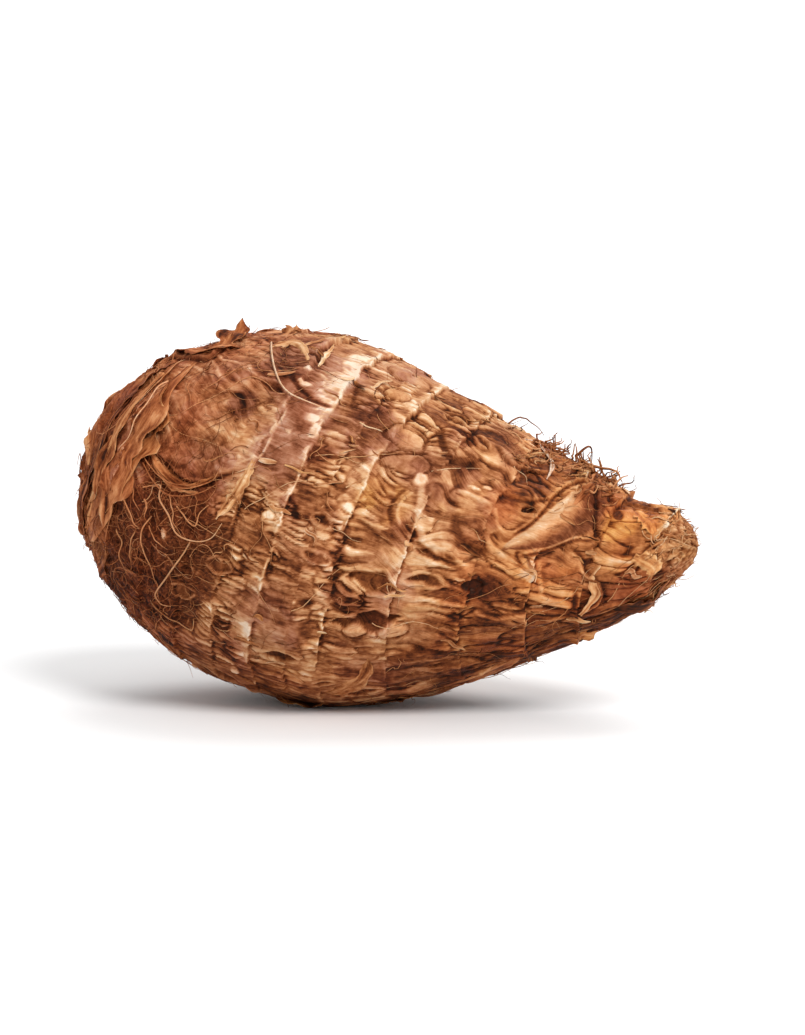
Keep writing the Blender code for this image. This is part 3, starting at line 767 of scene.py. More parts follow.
    # Tone, from the strips and their borders to the zones, the marks and the long edges.
    tone = 0.545 + 0.50 * pick_a * (1 - 0.7 * calm) * (1 - 0.55 * neck) + 0.18 * pick_b * loud
    tone += 0.08 * wide_a + 0.15 * mid_c + 0.13 * fine_a + 0.08 * tiny
    tone += 0.12 * own_u * whole * (1 - 0.5 * calm) * (1 - 0.5 * neck)
    tone += (0.14 * fibre + 0.11 * fine_fibre) * (1 - 0.4 * calm) + neck * 0.16 * coarse
    # Strip borders, deep gaps, slits and the neck's creases darken: partly the darker husk beneath, partly
    # painted shade in these cracks.
    tone -= (0.20 * line + 0.30 * deep + 0.20 * slits) * (1 - calm) * (1 - 0.3 * under) + 0.36 * crease
    cream = CREAM[band] * (1 - 0.5 * under) * (1 - 0.7 * papery)
    broken = between(mid_a + 0.8 * fine_b, -0.25, 0.3)
    reach = (0.8 + 3.4 * between(own_b + 0.8 * fine_a, 0.15, 0.9)) * mix(1.0, 1.4, between(height, 0.2, 0.7))
    tone += 0.34 * cream * between(to_lip, reach, 0.3 * reach) * broken
    tone += 0.16 * cream * between(to_lip, 0.6, 0.1) * mix(0.3, 1.0, broken)
    # Painted shadow at the foot of each band, under the lifted lip of the band before it.
    foot = between(from_foot, 1.0, 0.05) * between(mid_c + 0.8 * fine_a, -0.25, 0.25)
    foot *= (1 - 0.75 * papery) * (1 - 0.6 * under)
    tone -= 0.30 * foot * np.minimum(step_below * 1.3, 1.2) * (band > 0)
    blotch = between(mid_b + 0.5 * fine_a + 0.3 * wide_c, 0.20, 0.50)
    tone -= 0.19 * blotch * (1 - 0.5 * neck) * (1 - calm)
    tone += 0.12 * cream * between(to_lip, 5.5, 1.5) * between(mid_b, -0.35, 0.15)
    tone += papery * (0.18 * fibre + 0.09 * coarse + 0.16 * fine_fibre + 0.09 * mid_b + 0.05 * fine_b - 0.04)
    tone += patch_tone - 0.02 * neck
    round_pole = 0.30 + 0.20 * fibre + 0.12 * coarse + 0.12 * fine_fibre + 0.06 * mid_c
    tone = mix(tone, round_pole, 0.85 * base * (1 - mat))
    matted = 0.10 + 0.20 * between(bundles, 0.10, 0.0) + 0.20 * between(more_bundles, 0.08, 0.0)
    tone = mix(tone, matted + 0.05 * tiny + 0.05 * mid_a, 0.88 * mat)
    tone = mix(tone, 0.26 + 0.22 * scarred + 0.10 * tiny, 0.9 * pole)
    # Painted shade: the underside is darker, and the very bottom darker still.
    tone -= 0.13 * under + 0.10 * between(height, -0.75, -0.98)
    # Painted shade over the lower side of the neck.
    tone -= 0.16 * neck * between(height, 0.1, -0.6)
    tone = mix(tone, 0.46 + 0.34 * frayed + 0.10 * fine_a, stub)
    tone += 0.18 * collar * (1 - stub)
    tone = mix(tone, scale_tone + 0.10 * fibre + 0.08 * fine_fibre, 0.9 * in_scale)
    tone = mix(tone, mark_tone, mark_weight)
    tone = mix(tone, curve_tone + 0.06 * fibre, curve_weight)

    hue = 0.35 * mid_c + 0.25 * (own_b - 0.5) - 0.45 * between(wide_b, 0.05, 0.4) * (1 - neck)
    hue += patch_hue - 0.25 * papery + 0.05 * neck + 0.30 * collar - 0.5 * blotch
    hue = mix(hue, -0.35, 0.7 * mat) * (1 - 0.85 * between(tone, 0.62, 0.85))
    gloss = neck * (0.45 + 0.5 * between(mid_b, -0.2, 0.5)) * (1 - stub) * (1 - 0.5 * under)
    gloss *= (1 - between(tone, 0.7, 0.9)) * (1 - 0.7 * in_scale)
    hue = mix(hue, -0.7 * between(tone, 0.5, 0.3), in_scale)
    # A red tint: the base's own reddish husk, the matted patch and random patches; on the underside it is
    # painted shade that reddens and darkens it.
    red_tint_and_shade = 0.75 * (1 - between(arc_mm + 6 * wide_a, *RUST_ZONE)) + 0.12 * mat + 0.35 * under + 0.5 * mid_b
    tone, hue, red_tint_and_shade = np.clip(tone, 0.0, 1.0), np.clip(hue, -1.0, 1.0), np.clip(red_tint_and_shade, 0.0, 1.0)
    return plain, normal, lift, tone, hue, red_tint_and_shade, gloss, finish_flow


collection = bpy.data.collections.new("taro_root_finish")
bpy.context.scene.collection.children.link(collection)
# What the finish reads at each vertex.
ATTRIBUTES = ("tone", "hue", "red_tint_and_shade", "gloss", "flow")


def make_piece(name, points, faces, uvs, attributes):
    """A mesh object from arrays, smooth shaded, with its bake UVs, that stands for the corm."""
    mesh = bpy.data.meshes.new(name)
    corners = np.asarray(faces, np.int32)
    sides = corners.shape[1]
    mesh.vertices.add(len(points))
    mesh.vertices.foreach_set("co", np.asarray(points, np.float32).ravel())
    mesh.loops.add(corners.size)
    mesh.loops.foreach_set("vertex_index", corners.ravel())
    mesh.polygons.add(len(corners))
    mesh.polygons.foreach_set("loop_start", np.arange(0, corners.size, sides, dtype=np.int32))
    mesh.update(calc_edges=True)
    mesh.validate()
    mesh.shade_smooth()
    layer = mesh.uv_layers.new(name="OFBake")
    layer.data.foreach_set("uv", np.asarray(uvs, np.float32).ravel())
    for key, values in zip(ATTRIBUTES, attributes):
        kind, field = ("FLOAT_VECTOR", "vector") if key == "flow" else ("FLOAT", "value")
        stored = mesh.attributes.new(key, kind, "POINT")
        stored.data.foreach_set(field, np.asarray(values, np.float32).ravel())
    piece = bpy.data.objects.new(name, mesh)
    collection.objects.link(piece)
    mesh.materials.append(husk_finish)
    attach(piece, "root")
    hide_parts("taro_corm")


def grid_faces(rows, columns):
    """Quads over a grid of rows and columns whose last column joins the first, and their UVs."""
    row, column = np.meshgrid(np.arange(rows - 1), np.arange(columns), indexing="ij")
    beside = (column + 1) % columns
    corners = ((row, column), (row + 1, column), (row + 1, beside), (row, beside))
    faces = np.stack([r * columns + c for r, c in corners], axis=-1)
    left, right = column / columns, (column + 1) / columns
    low, high = row / (rows - 1), (row + 1) / (rows - 1)
    places = ((left, low), (left, high), (right, high), (right, low))
    uvs = np.stack([np.stack(place, axis=-1) for place in places], axis=-2)
    return faces.reshape(-1, 4), uvs.reshape(-1, 2)


# The margin round each grid in its square of the UV board, as a share of the square.
UV_MARGIN = 0.04


def repeat_grid(count, rows, columns, first_vertex, first_cell, side):
    """The faces and UVs of count closed grids, each in its own square of a side by side UV board."""
    faces, uvs = grid_faces(rows, columns)
    every = (faces[None] + np.arange(count)[:, None, None] * rows * columns + first_vertex).reshape(-1, 4)
    number = np.arange(first_cell, first_cell + count)
    corner = np.stack((number % side, number // side), axis=-1)[:, None, :]
    return every, ((uvs[None] * (1 - 2 * UV_MARGIN) + UV_MARGIN + corner) / side).reshape(-1, 2)


# The bands of skin: name, arc from and to in metres, rows and columns of vertices.
SKIN_PIECES = (
    ("husk_base", 0.0, 0.040, 150, 580),
    ("husk_belly", 0.040, 0.072, 106, 820),
    ("husk_shoulder", 0.072, 0.112, 130, 660),
    ("husk_neck", 0.112, SKIN_LENGTH, 170, 540),
)
# A band's first row is tucked this far under the band before it, and this deep.
TUCK = 0.0006
TUCK_DEPTH = 0.00012


def make_skin(name, start, end, rows, columns):
    arcs = np.linspace(max(start - TUCK, 0.0), end, rows)
    angles = np.arange(columns) / columns * math.tau
    arc, angle = np.meshgrid(arcs, angles, indexing="ij")
    plain, normal, lift, *attributes = husk(arc, angle)
    tucked = TUCK_DEPTH * (arc < start - TUCK / 4) if start else 0.0
    points = plain + normal * (lift - tucked)[..., None]
    points[..., 2] = np.maximum(points[..., 2], 0.0)
    faces, uvs = grid_faces(rows, columns)
    make_piece(name, points.reshape(-1, 3), faces, uvs, attributes)


# Colours from the darkest hollows to the cream of dry edges, and the tints over them.
RAMP = (
    (0.00, (0.016, 0.004, 0.0015)),
    (0.14, (0.075, 0.017, 0.0045)),
    (0.28, (0.190, 0.055, 0.0160)),
    (0.42, (0.335, 0.125, 0.046)),
    (0.56, (0.485, 0.220, 0.095)),
    (0.70, (0.590, 0.328, 0.162)),
    (0.84, (0.675, 0.442, 0.268)),
    (1.00, (0.770, 0.632, 0.475)),
)
PLUM = (0.73, 0.65, 0.82)
OCHRE = (1.02, 1.00, 0.70)
RUST = (0.98, 0.74, 0.64)
AMBER = (1.08, 0.82, 0.54)
GLINT = (1.0, 0.80, 0.62)


def husk_material():
    """The husk's finish: the pieces' own tone and tints, with fibres and speckles in colour and bump."""
    material = bpy.data.materials.new("husk_finish")
    material.use_nodes = True
    tree = material.node_tree
    nodes, links = tree.nodes, tree.links
    shader = nodes["Principled BSDF"]

    def attribute(name):
        node = nodes.new("ShaderNodeAttribute")
        node.attribute_name = name
        return node

    def noise_at(vector, scale, detail, roughness):
        node = nodes.new("ShaderNodeTexNoise")
        node.inputs["Scale"].default_value = scale
        node.inputs["Detail"].default_value = detail
        node.inputs["Roughness"].default_value = roughness
        links.new(vector, node.inputs["Vector"])
        return node.outputs["Fac"]

    def maths(operation, a, b, c=None):
        node = nodes.new("ShaderNodeMath")
        node.operation = operation
        for socket, value in zip(node.inputs, (a, b, c)):
            if isinstance(value, (int, float)):
                socket.default_value = value
            elif value is not None:
                links.new(value, socket)
        return node.outputs[0]

    def tint(colour, factor, other):
        node = nodes.new("ShaderNodeMix")
        node.data_type = "RGBA"
        node.blend_type = "MULTIPLY"
        links.new(factor, node.inputs["Factor"])
        links.new(colour, node.inputs["A"])
        node.inputs["B"].default_value = (*other, 1.0)
        return node.outputs["Result"]

    flow = attribute("flow").outputs["Vector"]
    place = nodes.new("ShaderNodeTexCoord").outputs["Object"]
    tone, hue, red_tint_and_shade, gloss = (attribute(name).outputs["Fac"] for name in ATTRIBUTES[:4])
    threads = noise_at(flow, 3.2, 4.0, 0.62)
    speckle = noise_at(place, 1100.0, 3.0, 0.6)
    patches = noise_at(place, 260.0, 4.0, 0.6)
    varied = tone
    for pattern, strength in ((threads, 0.50), (speckle, 0.32), (patches, 0.34)):
        varied = maths("MULTIPLY_ADD", maths("SUBTRACT", pattern, 0.5), strength, varied)
    ramp = nodes.new("ShaderNodeValToRGB")
    stops = ramp.color_ramp.elements
    stops[0].position, stops[0].color = RAMP[0][0], (*RAMP[0][1], 1.0)
    stops[1].position, stops[1].color = RAMP[-1][0], (*RAMP[-1][1], 1.0)
    for position, colour in RAMP[1:-1]:
        stops.new(position).color = (*colour, 1.0)
    links.new(varied, ramp.inputs["Fac"])
    plum = maths("MAXIMUM", maths("MULTIPLY", hue, -1.0), 0.0)
    ochre = maths("MAXIMUM", hue, 0.0)
    coloured = ramp.outputs["Color"]
    for factor, colour in ((plum, PLUM), (ochre, OCHRE), (red_tint_and_shade, RUST), (gloss, AMBER)):
        coloured = tint(coloured, factor, colour)
    links.new(coloured, shader.inputs["Base Color"])
    rough = maths("MULTIPLY_ADD", gloss, -0.36, 0.78)
    rough = maths("MULTIPLY_ADD", maths("SUBTRACT", threads, 0.5), 0.25, rough)
    links.new(rough, shader.inputs["Roughness"])
    shader.inputs["Specular IOR Level"].default_value = 0.14
    shader.inputs["Specular Tint"].default_value = (*GLINT, 1.0)
    bump = nodes.new("ShaderNodeBump")
    bump.inputs["Strength"].default_value = 0.75
    bump.inputs["Distance"].default_value = 0.00025
    height = maths("MULTIPLY_ADD", speckle, 0.5, threads)
    links.new(height, bump.inputs["Height"])
    links.new(bump.outputs["Normal"], shader.inputs["Normal"])
    return material


husk_finish = husk_material()
for skin_piece in SKIN_PIECES:
    make_skin(*skin_piece)


# How close to the poles a wandering path may come.
POLE_GAP_MM = 1.5


def wander(arc_mm, angle, heading, length_mm, steps, curl, draw):
    """Paths (count, steps, 2) of arc in mm and angle in radians that leave each start and curl at random."""
    count = len(arc_mm)
    along = np.linspace(0.0, 1.0, steps)
    turns = np.cumsum(draw.normal(0.0, 1.0, (count, steps)), axis=1) / math.sqrt(steps)
    slow = np.sin(along[None] * draw.uniform(3, 9, (count, 1)) + draw.uniform(0, 6, (count, 1)))
    way = heading[:, None] + curl[:, None] * (turns + slow)
    step = length_mm / (steps - 1)
    path = np.zeros((count, steps, 2))
    path[:, 0, 0], path[:, 0, 1] = arc_mm, angle
    for k in range(1, steps):
        path[:, k, 0] = path[:, k - 1, 0] + step * np.cos(way[:, k])
        around = step * np.sin(way[:, k]) / radius_mm(path[:, k - 1, 0], path[:, k - 1, 1])
        path[:, k, 1] = path[:, k - 1, 1] + around
    path[..., 0] = np.clip(path[..., 0], POLE_GAP_MM, SKIN_LENGTH / MM - POLE_GAP_MM)
    return path


def eased(values, passes=2):
    """Values along paths (axis 1), evened out."""
    for _ in range(passes):
        ends = np.concatenate((values[:, :1], values, values[:, -1:]), axis=1)
        values = (ends[:, :-2] + 2 * ends[:, 1:-1] + ends[:, 2:]) / 4
    return values


# Sheets and shreds of dried husk are thin closed meshes, this thick. They and the fibres stay off the floor.
SHEET_MM = 0.16
SHEET_FLOOR_GAP, FIBRE_FLOOR_GAP = 0.0003, 0.0001
# Below this lift a sheet would sink out of reach in the husk.
SHEET_LOWEST = -0.0006
# How high the buried and the free edge of a sheet lie over the husk, in mm.
BURIED_MM, FREE_MM = -0.35, 0.07


def spread(values, shape):
    """One value for each path, over all that path's places."""
    return np.broadcast_to(values[:, None, None], shape)


def sheet_grids(paths, half_mm, rise_mm, sides, light, hue, gloss, free, salt):
    """Thin closed sheets that lie along paths on the husk.

    paths (count, steps, 2); half_mm (count, steps); rise_mm (count, steps, sides) over the husk; light, hue and
    gloss (count); free (count): -1, 0 or 1 for the side whose edge is dry and pale.
    """
    arc, angle = paths[..., 0], paths[..., 1]
    round_mm = radius_mm(arc, angle)
    step_a, step_s = np.gradient(arc, axis=1), np.gradient(angle, axis=1) * round_mm
    size = np.maximum(np.hypot(step_a, step_s), 1e-6)
    across = np.linspace(-1.0, 1.0, sides)
    off = across * half_mm[..., None]
    arcs = np.clip(arc[..., None] - (step_s / size)[..., None] * off, 1.0, SKIN_LENGTH / MM - 1.0)
    angles = angle[..., None] + (step_a / size / round_mm)[..., None] * off
    plain, normal, lift, tone, _, red_tint_and_shade, _, _ = husk(arcs * MM, angles)
    passed = np.concatenate((np.zeros((len(arc), 1)), np.cumsum(size, axis=1)[:, :-1]), axis=1)
    own = (np.arange(len(arc)) * 7.3 + salt)[:, None, None]
    flow = np.stack(np.broadcast_arrays(passed[..., None] / 7.0 + own, off / 1.05, own), axis=-1)
    ridges, fine_ridges = perlin(flow), perlin(flow, np.array((1.4, 2.3, 2.3)), 5.0)
    edge_side = np.where(free[:, None, None] == 0, np.abs(across), free[:, None, None] * across)
    # The edge that isn't free dips into the husk.
    clear = mix(BURIED_MM, FREE_MM, between(edge_side, -1.0, -0.45))
    level = eased(eased(lift, 3).mean(axis=-1, keepdims=True), 3)
    height = np.maximum(lift + clear * MM, level + (rise_mm + 0.14 * ridges + 0.07 * fine_ridges) * MM)
    height = np.where(edge_side < -0.45, np.minimum(height, lift + clear * MM), height)
    height = np.maximum(height, SHEET_LOWEST)
    streak = 0.34 * ridges + 0.22 * fine_ridges
    # The free edge is paler, dry husk; the edge that dips into the husk is darker with painted shade.
    edge_light = 0.14 * between(edge_side, 0.75, 1.0) - 0.12 * between(edge_side, -0.4, -1.0)
    shown = np.clip(light[:, None, None] + streak + edge_light + 0.15 * (tone - 0.45), 0.03, 0.98)
    end = np.linspace(0.0, 1.0, arc.shape[1])
    thin_ends = np.minimum(1.0, np.minimum(end, 1 - end) * 12)[None, :, None]
    thick = SHEET_MM * MM * thin_ends * (1 - 0.6 * np.abs(across) ** 3)
    top = plain + normal * height[..., None]
    bottom = top - normal * thick[..., None]
    points = np.concatenate((top, bottom[:, :, ::-1]), axis=2)
    points[..., 2] = np.maximum(points[..., 2], SHEET_FLOOR_GAP)
    both_sides = (shown, spread(hue, shown.shape), red_tint_and_shade, spread(gloss, shown.shape), flow)
    return points, *(np.concatenate((values, values[:, :, ::-1]), axis=2) for values in both_sides)


def join_grids(name, groups):
    """One piece from groups of closed grids."""
    total = sum(len(group[0]) for group in groups)
    side = math.ceil(math.sqrt(total))
    faces, uvs, vertices, done = [], [], 0, 0
    for points, *_ in groups:
        count, rows, columns, _ = points.shape
        more_faces, more_uvs = repeat_grid(count, rows, columns, vertices, done, side)
        faces.append(more_faces)
        uvs.append(more_uvs)
        vertices += count * rows * columns
        done += count
    points, *attributes = (
        np.concatenate([values.reshape(-1, *values.shape[3:]) for values in alike]) for alike in zip(*groups)
    )
    make_piece(name, points, np.concatenate(faces), np.concatenate(uvs), attributes)


# Large sheets: rise in mm at the first and second side, light, hue, gloss, the free side, half widths in mm
# along the sheet, and its path's places as (arc in mm, angle in degrees).
LARGE_SHEETS = (
    (0.0, 1.3, 0.40, 0.1, 0.1, 1, (1.2, 3.5, 5.5, 6.5, 6.5, 6.0, 2.5), (41, 66), (37.5, 48), (36, 34),
        (33.5, 22), (29.5, 8), (26.5, -8), (22, -26)),
    (0.0, 0.9, 0.50, 0.3, 0.0, 1, (1.0, 2.8, 3.4, 3.0, 1.0), (34, 64), (30, 46), (27, 28), (24, 8),
        (20, -14)),
    (0.0, 0.8, 0.30, -0.3, 0.0, 1, (1.0, 2.4, 3.0, 2.6, 1.0), (28, 60), (23, 40), (20, 20), (17, -5),
        (15, -30)),
    (0.1, 0.9, 0.62, 0.4, 0.0, 1, (0.4, 1.0, 0.4), (38, 70), (34, 56), (31, 44)),
    (0.1, 1.0, 0.34, 0.2, 0.0, 1, (0.8, 3.0, 1.0), (34, -22), (31, -38), (27, -54)),
    (0.2, 1.5, 0.44, 0.45, 0.0, 1, (0.5, 1.5, 2.6, 3.8, 3.2, 2.2, 0.8), (37.5, 58), (38, 48), (40, 38),
        (40.5, 30), (37.5, 20), (34, 8), (30, -6)),
    (1.5, 0.3, 0.38, 0.1, 0.0, -1, (1.0, 2.2, 2.8, 1.2), (32, 88), (38, 78), (44, 72), (50, 74)),
    (1.2, 3.0, 0.34, 0.2, 0.0, 0, (1.2, 2.4, 1.8, 0.5), (43.5, 68), (45.5, 76), (46.5, 84), (47.5, 90)),
    (0.9, 1.9, 0.38, 0.1, 0.0, 0, (0.9, 1.5, 0.7), (55, 84), (56.5, 89), (57.5, 94)),
    (1.2, 0.8, 0.97, -0.4, 0.1, 0, (0.15, 0.42, 0.50, 0.40, 0.12), (117.5, 86), (120.8, 90), (125.4, 80),
        (128.2, 67), (128.9, 56)),
    (0.8, 0.9, 0.62, 0.2, 0.0, 0, (0.3, 0.7, 0.9, 0.4), (149.9, 1), (148.9, -12), (150.3, -25), (147.2, -38)),
    (0.8, 2.0, 0.16, 0.0, 0.0, 1, (1.5, 3.0, 2.6, 0.8), (155, -50), (159, -60), (163, -68), (166.5, -66)),
    (1.1, 0.4, 0.40, 0.3, 0.0, -1, (0.2, 0.8, 0.9, 0.7, 0.2), (41, 27), (45.8, 20.5), (51.2, 15.5),
        (56, 14.8), (61, 18.5)),
    (0.8, 0.5, 0.52, 0.2, 0.0, -1, (0.2, 0.5, 0.6, 0.2), (43, 21), (47.3, 16.5), (52.2, 13), (57.5, 12.5)),
    (0.35, 0.5, 0.58, 0.25, 0.0, 1, (0.3, 1.7, 1.7, 0.3), (67.4, 24), (66.5, 16), (65.3, 10.5), (63.8, 5)),
    (0.6, 0.5, 0.76, 0.2, 0.0, 0, (0.15, 0.6, 0.5, 0.15), (68.9, 65), (68.5, 74), (67.8, 82)),
    (0.3, 0.9, 0.56, 0.1, 0.0, 1, (0.3, 0.9, 0.9, 0.3), (56.5, 71), (59.6, 76), (63.0, 73), (66.5, 65)),
    (0.3, 0.8, 0.52, 0.4, 0.9, -1, (0.8, 1.8, 1.9, 0.8), (152, 66), (155, 56), (158, 44), (160, 30)),
    (0.5, 0.9, 0.56, 0.4, 0.3, 1, (0.8, 1.8, 1.9, 0.8), (157, 2), (160, -6), (162, -16), (163, -28)),
)
LARGE_STEPS, LARGE_SIDES = 36, 10


def scattered_sheets(draw):
    """More sheets on the sides that face away, and round the base's pole."""
    found = []
    for k in range(64):
        at_base = k % 3 == 0
        turn = draw.uniform(0, 360) if at_base else draw.uniform(FRONT_TO + 6, 360 + FRONT_FROM - 6)
        at = draw.uniform(8, 34) if at_base else draw.uniform(34, 150)
        way = draw.choice((-90, 90)) + draw.normal(0, 14) if at_base else draw.normal(0, 28)
        length = draw.uniform(9, 24) if at_base else draw.uniform(6, 18)
        path = walked(at, turn, way, draw.normal(0, 18), length)
        if path[-1][0] > 160:
            continue
        half = draw.uniform(0.5, 2.6)
        free = int(draw.choice((-1, 1)))
        free_rise = draw.uniform(0.5, 1.5)
        light = draw.uniform(0.28, 0.62)
        low, high = (free_rise, 0.1) if free < 0 else (0.1, free_rise)
        hue, gloss = draw.uniform(-0.6, 0.8), 0.6 if at > 115 else 0.0
        found.append((low, high, light, hue, gloss, free, (0.4, half, half * 0.9, 0.5), *path))
    return found


def smooth_values(values, steps):
    return smooth_path([(value, 0) for value in values], steps)[:, 0]


def path_lines(rows, first, steps):
    """Smooth lines (count, steps, 2) of arc in mm and angle in radians, from the places that end each row."""
    lines = np.array([smooth_path(row[first:], steps) for row in rows])
    lines[..., 1] = np.radians(lines[..., 1])
    return lines


def large_sheets():
    halves, rises = [], []
    along = np.linspace(0.0, 1.0, LARGE_STEPS)[:, None]
    across = np.linspace(-1.0, 1.0, LARGE_SIDES)[None, :]
    draw = np.random.default_rng(81)
    sheets = (*LARGE_SHEETS, *scattered_sheets(draw))
    for low, high, _, _, _, free, half, *_ in sheets:
        ragged = smooth_values(draw.normal(1.0, 0.22, 18), LARGE_STEPS)
        halves.append(smooth_values(half, LARGE_STEPS).clip(0.15) * ragged)
        slope = low + (high - low) * (across + 1) / 2
        curl = 0.35 * np.abs(across) ** 3 * max(low, high)
        swell = np.sin(math.pi * along) ** 0.6 if free else np.sin(math.pi / 2 * along) ** 1.5
        rises.append((slope * swell + curl * swell) * (0.75 + 0.25 * np.sin(along * draw.uniform(5, 16))))
    light, hue, gloss, free = np.array([sheet[2:6] for sheet in sheets], float).T
    paths = path_lines(sheets, 7, LARGE_STEPS)
    return sheet_grids(paths, np.array(halves), np.array(rises), LARGE_SIDES, light, hue, gloss, free, 3.0)


# How many shreds are tried, the lowest sine of the angle that keeps one, and the grid of each.
SHREDS = 300
SHRED_LOWEST = -0.75
SHRED_STEPS, SHRED_SIDES = 8, 4


def small_shreds():
    """Short shreds that hang from the ring edges."""
    draw = np.random.default_rng(21)
    ring = draw.integers(3, len(RINGS_MM), SHREDS)
    angle = draw.uniform(-math.pi, math.pi, SHREDS)
    keep = np.sin(angle) > SHRED_LOWEST
    ring, angle = ring[keep], angle[keep]
    count = len(ring)
    length = draw.uniform(2.0, 7.0, count)
    start = RINGS_MM[ring] - length * draw.uniform(0.2, 1.0, count) + draw.normal(0, 1.2, count)
    heading = draw.normal(-0.15, 0.35, count)
    paths = wander(start, angle, heading, length, SHRED_STEPS, draw.uniform(0.1, 0.7, count), draw)
    along, across = np.linspace(0.0, 1.0, SHRED_STEPS), np.linspace(-1.0, 1.0, SHRED_SIDES)
    form = 0.25 + 1.9 * along * (1 - along) + 0.3 * (1 - along)
    half = draw.uniform(0.2, 1.0, count)[:, None] ** 2 * 0.75 * form
    tip = draw.uniform(0.1, 1.0, count)[:, None, None] ** 2.5 * 2.2
    cup = draw.uniform(-0.4, 0.9, count)[:, None, None] * half[..., None] * across**2
    along = along[None, :, None]
    rise = 0.05 + 0.25 * along + tip * along**2 + cup * along
    light, hue = draw.uniform(0.22, 0.62, count), draw.uniform(-0.3, 0.6, count)
    zero = np.zeros(count)
    return sheet_grids(paths, half, rise, SHRED_SIDES, light, hue, zero, zero, 90.0)


join_grids("husk_sheets", (large_sheets(),))
join_grids("husk_shreds", (small_shreds(),))


FIBRE_SIDES = 3
FIBRE_GLOSS = 0.1


def fibre_tubes(paths, thickness_mm, rise_mm, light, hue):
    """Thin tapered fibres along paths (count, steps, 2), rise_mm (count, steps) over the husk."""
    plain, normal, lift, _, _, red_tint_and_shade, _, _ = husk(paths[..., 0] * MM, paths[..., 1])
    steps = paths.shape[1]
    along = np.linspace(0.0, 1.0, steps)
    height = np.maximum(eased(lift, 4) + rise_mm * MM, lift - 0.1 * MM)
    centre = plain + normal * height[..., None]
    tangent = np.gradient(centre, axis=1)
    tangent /= np.maximum(np.linalg.norm(tangent, axis=-1, keepdims=True), 1e-9)
    side = np.cross(tangent, normal)
    side /= np.maximum(np.linalg.norm(side, axis=-1, keepdims=True), 1e-9)
    up = np.cross(side, tangent)
    spin = np.arange(FIBRE_SIDES) / FIBRE_SIDES * math.tau
    thick = thickness_mm[:, None] * MM * (1 - 0.7 * along[None] ** 2) / 2
    ring = side[:, :, None] * np.cos(spin)[:, None] + up[:, :, None] * np.sin(spin)[:, None]
    points = centre[:, :, None] + ring * thick[:, :, None, None]
    points[..., 2] = np.maximum(points[..., 2], FIBRE_FLOOR_GAP)
    shape = points.shape[:3]
    red_tints_and_shade, gloss = np.broadcast_to(red_tint_and_shade[..., None], shape), np.full(shape, FIBRE_GLOSS)
    return points, spread(light, shape), spread(hue, shape), red_tints_and_shade, gloss, points / MM * 0.35


# Fibres that show by themselves: thickness and rise in mm, light, hue, and the path's places as (arc in mm,
# angle in degrees).
CLEAR_FIBRES = (
    (0.62, 0.9, 0.90, -0.1, (55.5, 76), (58.5, 66), (62, 57), (66, 50), (71, 46.5), (76.5, 45.5)),
    (0.55, 1.9, 0.86, 0.1, (37.9, 56), (36.4, 46), (34.8, 36), (33.5, 26)),
    (0.55, 1.1, 0.74, 0.05, (45.3, 13), (47.7, 13.5), (48.7, 9), (52.4, 4), (56, -1), (60.6, -2.6),
        (64.1, -1), (65.6, 4)),
    (0.45, 1.0, 0.66, 0.05, (36.4, 12.5), (38.3, 6.5), (43, -0.5), (45, -3)),
    (0.40, 0.9, 0.60, 0.05, (39.1, 14.5), (40.8, 8.5), (43.8, 3.5)),
    (0.40, 0.9, 0.55, 0.05, (42.6, 12), (45.3, 13), (47.7, 13)),
    (0.38, 0.7, 0.62, 0.05, (50.5, 11), (52.7, 6.5), (54.2, 2), (57, -1.5)),
    (0.50, 1.2, 0.72, 0.05, (59.1, -3.5), (57.9, -10), (55.4, -17.5), (53.4, -25.5), (54.4, -29),
        (57.4, -29)),
    (0.46, 0.9, 0.66, 0.05, (47, 2.5), (46.3, -4), (47.3, -10.5), (50.7, -16.5), (52.4, -22)),
    (0.44, 0.9, 0.60, 0.1, (37.1, -7.5), (40.1, -12.5), (41.3, -19.5), (43.3, -24.5)),
    (0.40, 0.9, 0.58, 0.05, (43.8, -4), (43.3, -10.5), (44.8, -18.5)),
    (0.50, 1.5, 0.50, 0.1, (42.3, 24), (46.3, 18), (51.2, 14), (56, 13.4), (60, 16.5), (61.4, 20.5)),
    (0.40, 1.6, 0.46, 0.1, (41, 21), (45.5, 15), (51, 11), (57, 11.5), (62, 16)),
    (0.36, 2.0, 0.56, 0.1, (40, 24), (44.3, 19.5), (50, 15), (57, 14)),
    (0.38, 0.7, 0.62, 0.05, (47.3, -1), (49.7, -4.5), (53.9, -7.5)),
    (0.42, 0.8, 0.64, 0.1, (53.4, 7.5), (56.4, 4.5), (59.4, 2), (59.6, 6), (61.1, 9)),
    (0.42, 0.8, 0.62, 0.1, (52, -33), (56.2, -35.5), (60, -37), (63.1, -37.5), (63.1, -33)),
    (0.45, 3.2, 0.30, 0.0, (112, 88), (113, 96), (115, 104), (119, 110)),
    (0.75, 3.0, 0.42, 0.05, (133, 100), (137, 101), (141, 99), (144, 96)),
    (0.70, 5.0, 0.24, 0.0, (130, 98), (131, 104), (133, 112)),
)


CLEAR_STEPS = 30


def clear_fibres():
    paths = path_lines(CLEAR_FIBRES, 4, CLEAR_STEPS)
    thickness, rise, light, hue = np.array([fibre[:4] for fibre in CLEAR_FIBRES]).T
    draw = np.random.default_rng(61)
    along = np.linspace(0.0, 1.0, CLEAR_STEPS)[None]
    wave = 0.3 * np.sin(along * draw.uniform(6, 18, (len(rise), 1)) + draw.uniform(0, 6, (len(rise), 1)))
    rise = rise[:, None] * (0.25 + 0.75 * np.sin(math.pi * np.minimum(along * 0.85 + 0.05, 1.0))) + wave * 0.6
    return fibre_tubes(paths, thickness, rise, light, hue)


